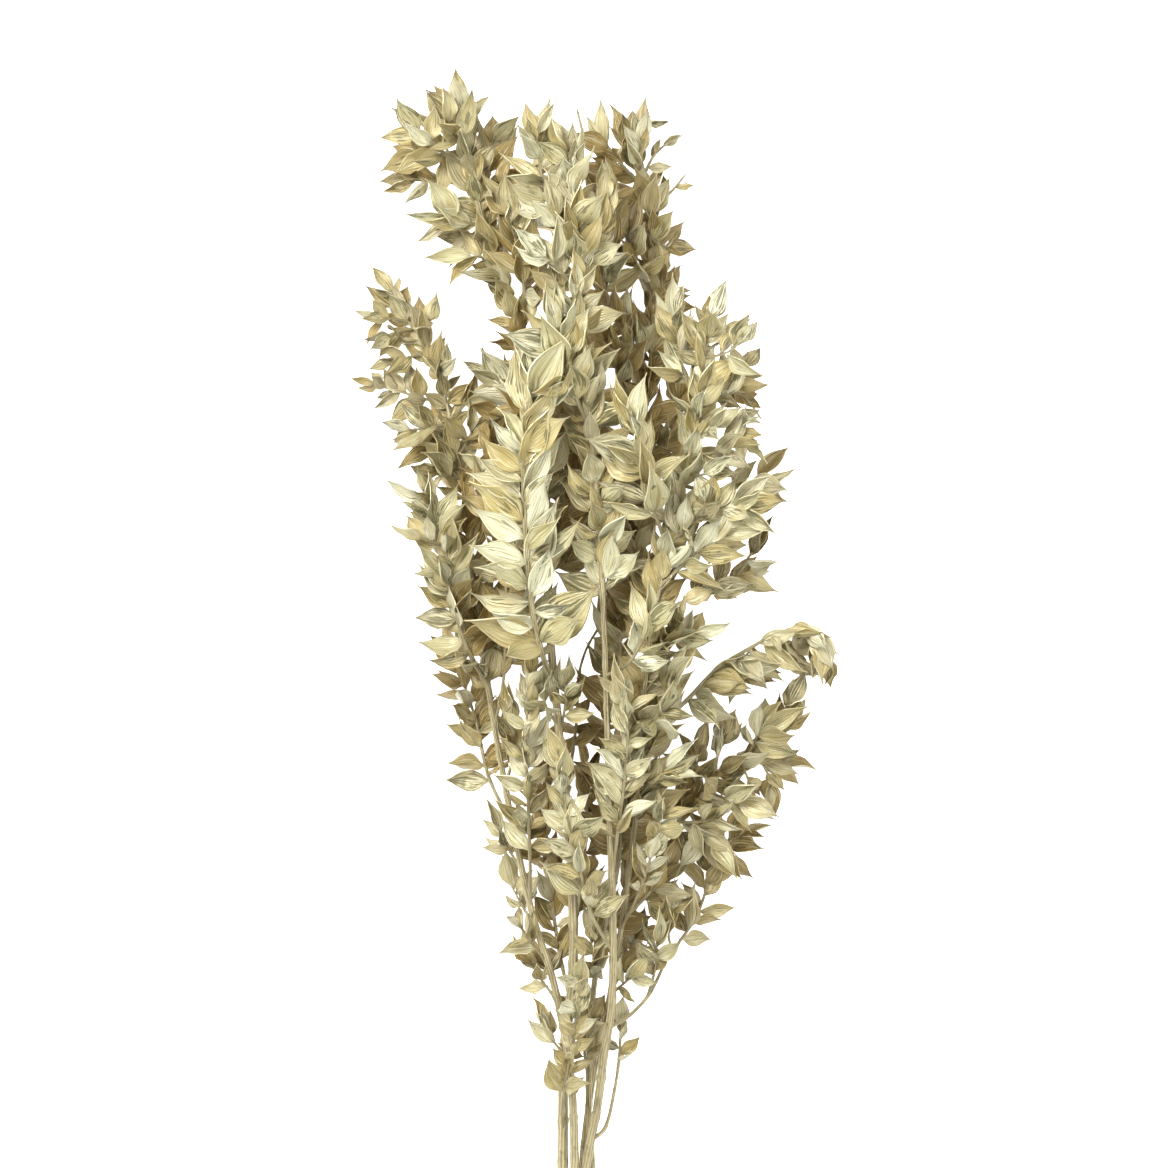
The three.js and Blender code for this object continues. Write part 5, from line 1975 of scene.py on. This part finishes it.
INNER_CANE = (
    Stem("main", (27, 22), ((594.3, 1265, 7.5), (592, 1165, 9.5), (588.5, 1100, 15.5), (592.5, 1000, 25),
         (604, 930, 31), (618, 860, 33), (619, 780, 36), (617, 700, 38), (620, 640, 38), (628, 580, 36),
         (636, 500, 33), (645, 420, 30), (652, 340, 27), (655, 280, 25), (646, 205, 24), (626, 140, 24)),
         radii=(2.1, 0.7), leafy=(0.36, 1), pitch=4.4, on=None),
    Stem("top_a", (15, 13), ((641, 185, 24), (648, 166, 27), (660, 149, 29), (684, 134, 30)),
         radii=(1, 0.5), leafy=(0.15, 0.65), pitch=9),
    Stem("top_b", (15, 13), ((647, 210, 24), (668, 195, 20), (687, 173, 18)),
         radii=(1, 0.5), leafy=(0.15, 0.65), pitch=9),
    Stem("top_c", (17, 14), ((651, 240, 24), (662, 246, 28), (678, 250, 30)),
         radii=(1, 0.6), leafy=(0.2, 0.6), pitch=9),
    Stem("top_d", (23, 21), ((652, 345, 27), (658, 322, 20), (663, 302, 14), (668, 288, 11)),
         radii=(1, 0.6), leafy=(0.4, 1), pitch=6),
    Stem("top_e", (24, 20), ((640, 185, 24), (616, 158, 30), (604, 140, 34)), radii=(1, 0.6), leafy=(0.2, 1)),
    Stem("back_a", (25, 21), ((628, 585, 36), (606, 545, 27), (592, 490, 22), (584, 430, 19), (578, 385, 18)),
         radii=(1.3, 0.6), leafy=(0.2, 1)),
    Stem("back_b", (25, 21), ((638, 482, 32), (662, 450, 24), (677, 418, 20), (679, 396, 19)),
         radii=(1.2, 0.6), leafy=(0.2, 1)),
    Stem("top_f", (16, 14), ((630, 150, 24), (640, 126, 27), (652, 115, 28)), leafy=(0.3, 0.8), pitch=7),
    Stem("fill", (27, 22), ((642, 427, 30), (622, 385, 38), (609, 335, 44), (604, 285, 46), (606, 235, 44),
         (611, 194, 40)), radii=(1.2, 0.6), leafy=(0.15, 1)),
    Stem("low_a", (23, 19), ((600, 960, 28), (620, 905, 22), (636, 850, 18), (648, 805, 16)),
         radii=(1.2, 0.6), leafy=(0.15, 1)),
    Stem("top_g", (22, 20), ((641, 180, 24), (640, 158, 33), (638, 138, 37))),
    Stem("top_h", (20, 18), ((651, 268, 25), (663, 250, 18), (671, 241, 15)), pitch=5.5),
    Stem("low_b", (20, 18), ((589, 1085, 17), (584, 1045, 26), (585, 1005, 31)), leafy=(0.25, 1)),
    Stem("low_c", (23, 20), ((592, 1000, 25), (594, 965, 34), (590, 935, 40)), leafy=(0.25, 1)),
    Stem("fill_b", (23, 20), ((654, 302, 26), (641, 274, 36), (631, 248, 41), (628, 230, 42)),
         radii=(1, 0.5), leafy=(0.25, 1)),
    Stem("fill_c", (23, 20), ((649, 376, 28), (635, 348, 37), (629, 320, 41)),
         radii=(1, 0.5), leafy=(0.25, 1)),
)

RIGHT_CANE = (
    Stem("main", (27, 21), ((577.7, 1258, 4.4), (581, 1185, 5), (586, 1126, 6.5), (596, 1060, 13),
         (609, 1000, 23), (622.5, 920, 38), (634, 830, 52), (641, 740, 64), (646, 680, 70), (653, 625, 74),
         (663, 570, 77), (680, 495, 80), (697, 420, 80), (704, 360, 77), (711, 318, 72)),
         radii=(2.3, 0.7), leafy=(0.46, 1), pitch=4.3, on=None),
    Stem("front", (31, 28), ((668, 548, 78), (652, 505, 92), (642, 460, 99), (632, 424, 100)),
         radii=(1.3, 0.7), leafy=(0.25, 1), pitch=4.8),
    Stem("right_a", (24, 19), ((654, 618, 74.5), (690, 598, 68), (715, 584, 62), (738, 574, 56),
         (752, 572, 52)), radii=(1.1, 0.5), leafy=(0.25, 1), pitch=5.2),
    Stem("right_b", (25, 24), ((682, 485, 80), (706, 490, 76), (735, 488, 68), (761, 478, 61)),
         radii=(1.1, 0.5), leafy=(0.25, 1), pitch=4.8),
    Stem("top_a", (22, 17), ((699, 410, 80), (720, 398, 72), (738, 378, 64), (748, 364, 60)),
         radii=(1, 0.5), leafy=(0.25, 1), pitch=5.5),
    Stem("top_b", (20, 17), ((705, 352, 76), (720, 342, 70), (732, 334, 66)), radii=(1, 0.5), pitch=6),
    Stem("arch", (27, 21), ((641, 742, 64), (668, 718, 62), (690, 697, 57), (718, 668, 52), (750, 648, 48),
         (778, 633, 45), (802, 628, 42), (822, 640, 38), (832, 660, 32)),
         radii=(1.5, 0.6), leafy=(0.22, 1), one_side=True),
    Stem("low", (26, 21), ((631, 850, 49), (655, 840, 44), (680, 818, 38), (700, 793, 32), (715, 773, 28),
         (740, 762, 24), (762, 760, 21), (782, 762, 19)), radii=(1.5, 0.6), leafy=(0.22, 1)),
    Stem("low_a", (21, 18), ((757, 760, 21.5), (774, 740, 26), (784, 718, 30), (790, 702, 32)),
         leafy=(0.2, 1), pitch=4.8, on="low"),
    Stem("low_b", (24, 22), ((715, 773, 28), (718, 754, 33), (724, 742, 37)), pitch=5.5, on="low"),
    Stem("top_c", (22, 16), ((699, 408, 80), (720, 396, 70), (742, 395, 62), (762, 420, 56)),
         leafy=(0.15, 0.6), pitch=6),
    Stem("fill_a", (26, 22), ((660, 585, 76), (687, 561, 82), (712, 540, 84), (728, 528, 82)),
         radii=(1.1, 0.6), leafy=(0.2, 1)),
    Stem("fill_b", (25, 21), ((650, 652, 73), (638, 601, 66), (636, 555, 60), (643, 515, 56)),
         radii=(1.1, 0.6), leafy=(0.2, 1)),
    Stem("fill_c", (22, 20), ((621, 928, 36), (638, 895, 52), (651, 856, 62), (660, 815, 66)),
         radii=(1.1, 0.6), leafy=(0.35, 1)),
    Stem("low_c", (21, 19), ((740, 762, 24), (746, 774, 33), (750, 786, 37)), pitch=5.5, on="low"),
    Stem("top_d", (24, 20), ((698, 416, 80), (717, 420, 77), (735, 416, 72)),
         radii=(1, 0.5), leafy=(0.25, 1), pitch=5.2),
    Stem("right_c", (24, 21), ((690, 455, 80), (712, 453, 86), (733, 446, 88)), leafy=(0.25, 1)),
    Stem("right_d", (23, 20), ((650, 652, 73), (676, 640, 78), (696, 634, 80))),
    Stem("low_d", (23, 20), ((676, 822, 39), (698, 822, 45), (716, 818, 47)), on="low"),
    Stem("low_e", (23, 21), ((700, 793, 32), (696, 772, 39), (699, 756, 42)), on="low"),
    Stem("base_a", (22, 19), ((611, 990, 24), (626, 965, 21), (636, 935, 19)),
         radii=(1, 0.5), leafy=(0.25, 1)),
    Stem("base_b", (24, 20), ((623, 918, 38), (643, 900, 33), (662, 878, 31), (676, 852, 31)),
         radii=(1, 0.5), leafy=(0.2, 1)),
    Stem("fill_d", (24, 21), ((698, 412, 80), (685, 376, 72), (678, 340, 66), (675, 312, 62)),
         radii=(1, 0.5), leafy=(0.25, 1)),
    Stem("fill_e", (25, 22), ((640, 750, 63), (654, 724, 72), (667, 696, 79), (675, 668, 82)),
         radii=(1, 0.5), leafy=(0.25, 1)),
    Stem("fill_f", (23, 20), ((637, 800, 56), (652, 780, 64), (667, 767, 67))),
    Stem("right_e", (25, 22), ((675, 518, 79), (700, 512, 88), (726, 508, 92), (744, 506, 92)),
         radii=(1, 0.5), leafy=(0.25, 1)),
    Stem("right_f", (22, 20), ((737, 574, 56), (748, 558, 62), (756, 547, 64)), on="right_a"),
    Stem("top_e", (20, 18), ((705, 358, 76), (726, 353, 84), (742, 341, 87)), pitch=5.5),
    Stem("low_f", (24, 22), ((746, 761, 23), (755, 740, 34), (763, 720, 39)), on="low"),
    Stem("low_g", (25, 22), ((702, 790, 31), (722, 797, 40), (740, 803, 44)), on="low"),
    Stem("low_h", (23, 21), ((688, 809, 36), (703, 836, 34), (718, 850, 33)), on="low"),
    Stem("base_c", (20, 18), ((610, 994, 24), (622, 985, 32), (633, 976, 36))),
    Stem("right_g", (24, 21), ((648, 666, 71), (664, 642, 81), (674, 620, 85))),
    Stem("right_h", (24, 21), ((685, 474, 80), (698, 475, 89), (709, 474, 92))),
    Stem("fill_h", (24, 21), ((669, 547, 78), (684, 531, 87), (696, 517, 91))),
    Stem("low_j", (22, 20), ((761, 760, 21), (768, 775, 29), (769, 788, 33)), on="low"),
    Stem("hang", (25, 22), ((717, 669, 52), (737, 668, 45), (754, 671, 41)), on="arch"),
    Stem("hang_b", (20, 18), ((776, 633, 45), (786, 645, 39), (793, 654, 36)), on="arch"),
    Stem("top_f", (22, 20), ((693, 441, 80), (706, 433, 88), (715, 426, 90))),
    Stem("top_g", (18, 16), ((722, 419, 76), (738, 430, 81), (747, 438, 82)), on="top_d"),
)
CANES = {"left_cane": LEFT_CANE, "thick_cane": THICK_CANE, "centre_cane": CENTRE_CANE,
         "inner_cane": INNER_CANE, "right_cane": RIGHT_CANE}


def main() -> None:
    """Builds the bunch, cane by cane, then the tie and the studio."""
    logging.basicConfig(level=logging.INFO, format="%(name)s: %(message)s")
    tie = Tie()
    low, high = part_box("tie")
    middle = np.array((low + high) / 2) / MM
    shift = np.array([middle[0] - tie.middle[0], middle[1] - tie.middle[1], float(low[2]) / MM])

    finishes = Finishes()
    thicket, solids = Thicket(), Solids(shift)
    canes = [Cane(name, number, plan, shift) for number, (name, plan) in enumerate(CANES.items())]
    for cane in canes:
        cane.grow(thicket)
    for cane in canes:
        cane.take_solid_leaves(solids, thicket)
        LOG.info("%s: %d leaves in the frame", cane.name, len(cane.leaves))
    for cane in canes:
        cane.fill_leaves(thicket)
    # Painted shade: leaves deep in the bunch or low down are painted darker and warmer.
    Shade().fall_on([leaf for cane in canes for leaf in cane.leaves])

    leaf, scale = LeafBlank(), ScaleBlank()
    forms = {form: leaf.build(form) for form in LeafForm}
    scale_object = scale.build()
    for cane in canes:
        wood = cane.build_wood(finishes, scale, scale_object)
        leaves = cane.build_leaves(finishes, leaf, forms)
        LOG.info("%s: %d stems, %d leaves, %d and %d faces", cane.name, len(cane.stems), len(cane.leaves),
                 len(wood.data.polygons), len(leaves.data.polygons))
    twine = tie.build(finishes, shift)
    LOG.info("%s: %d faces", twine.name, len(twine.data.polygons))
    for blank in [*forms.values(), scale_object]:
        bpy.data.objects.remove(blank)
    Studio().build(shift)


if __name__ == "__main__":
    main()
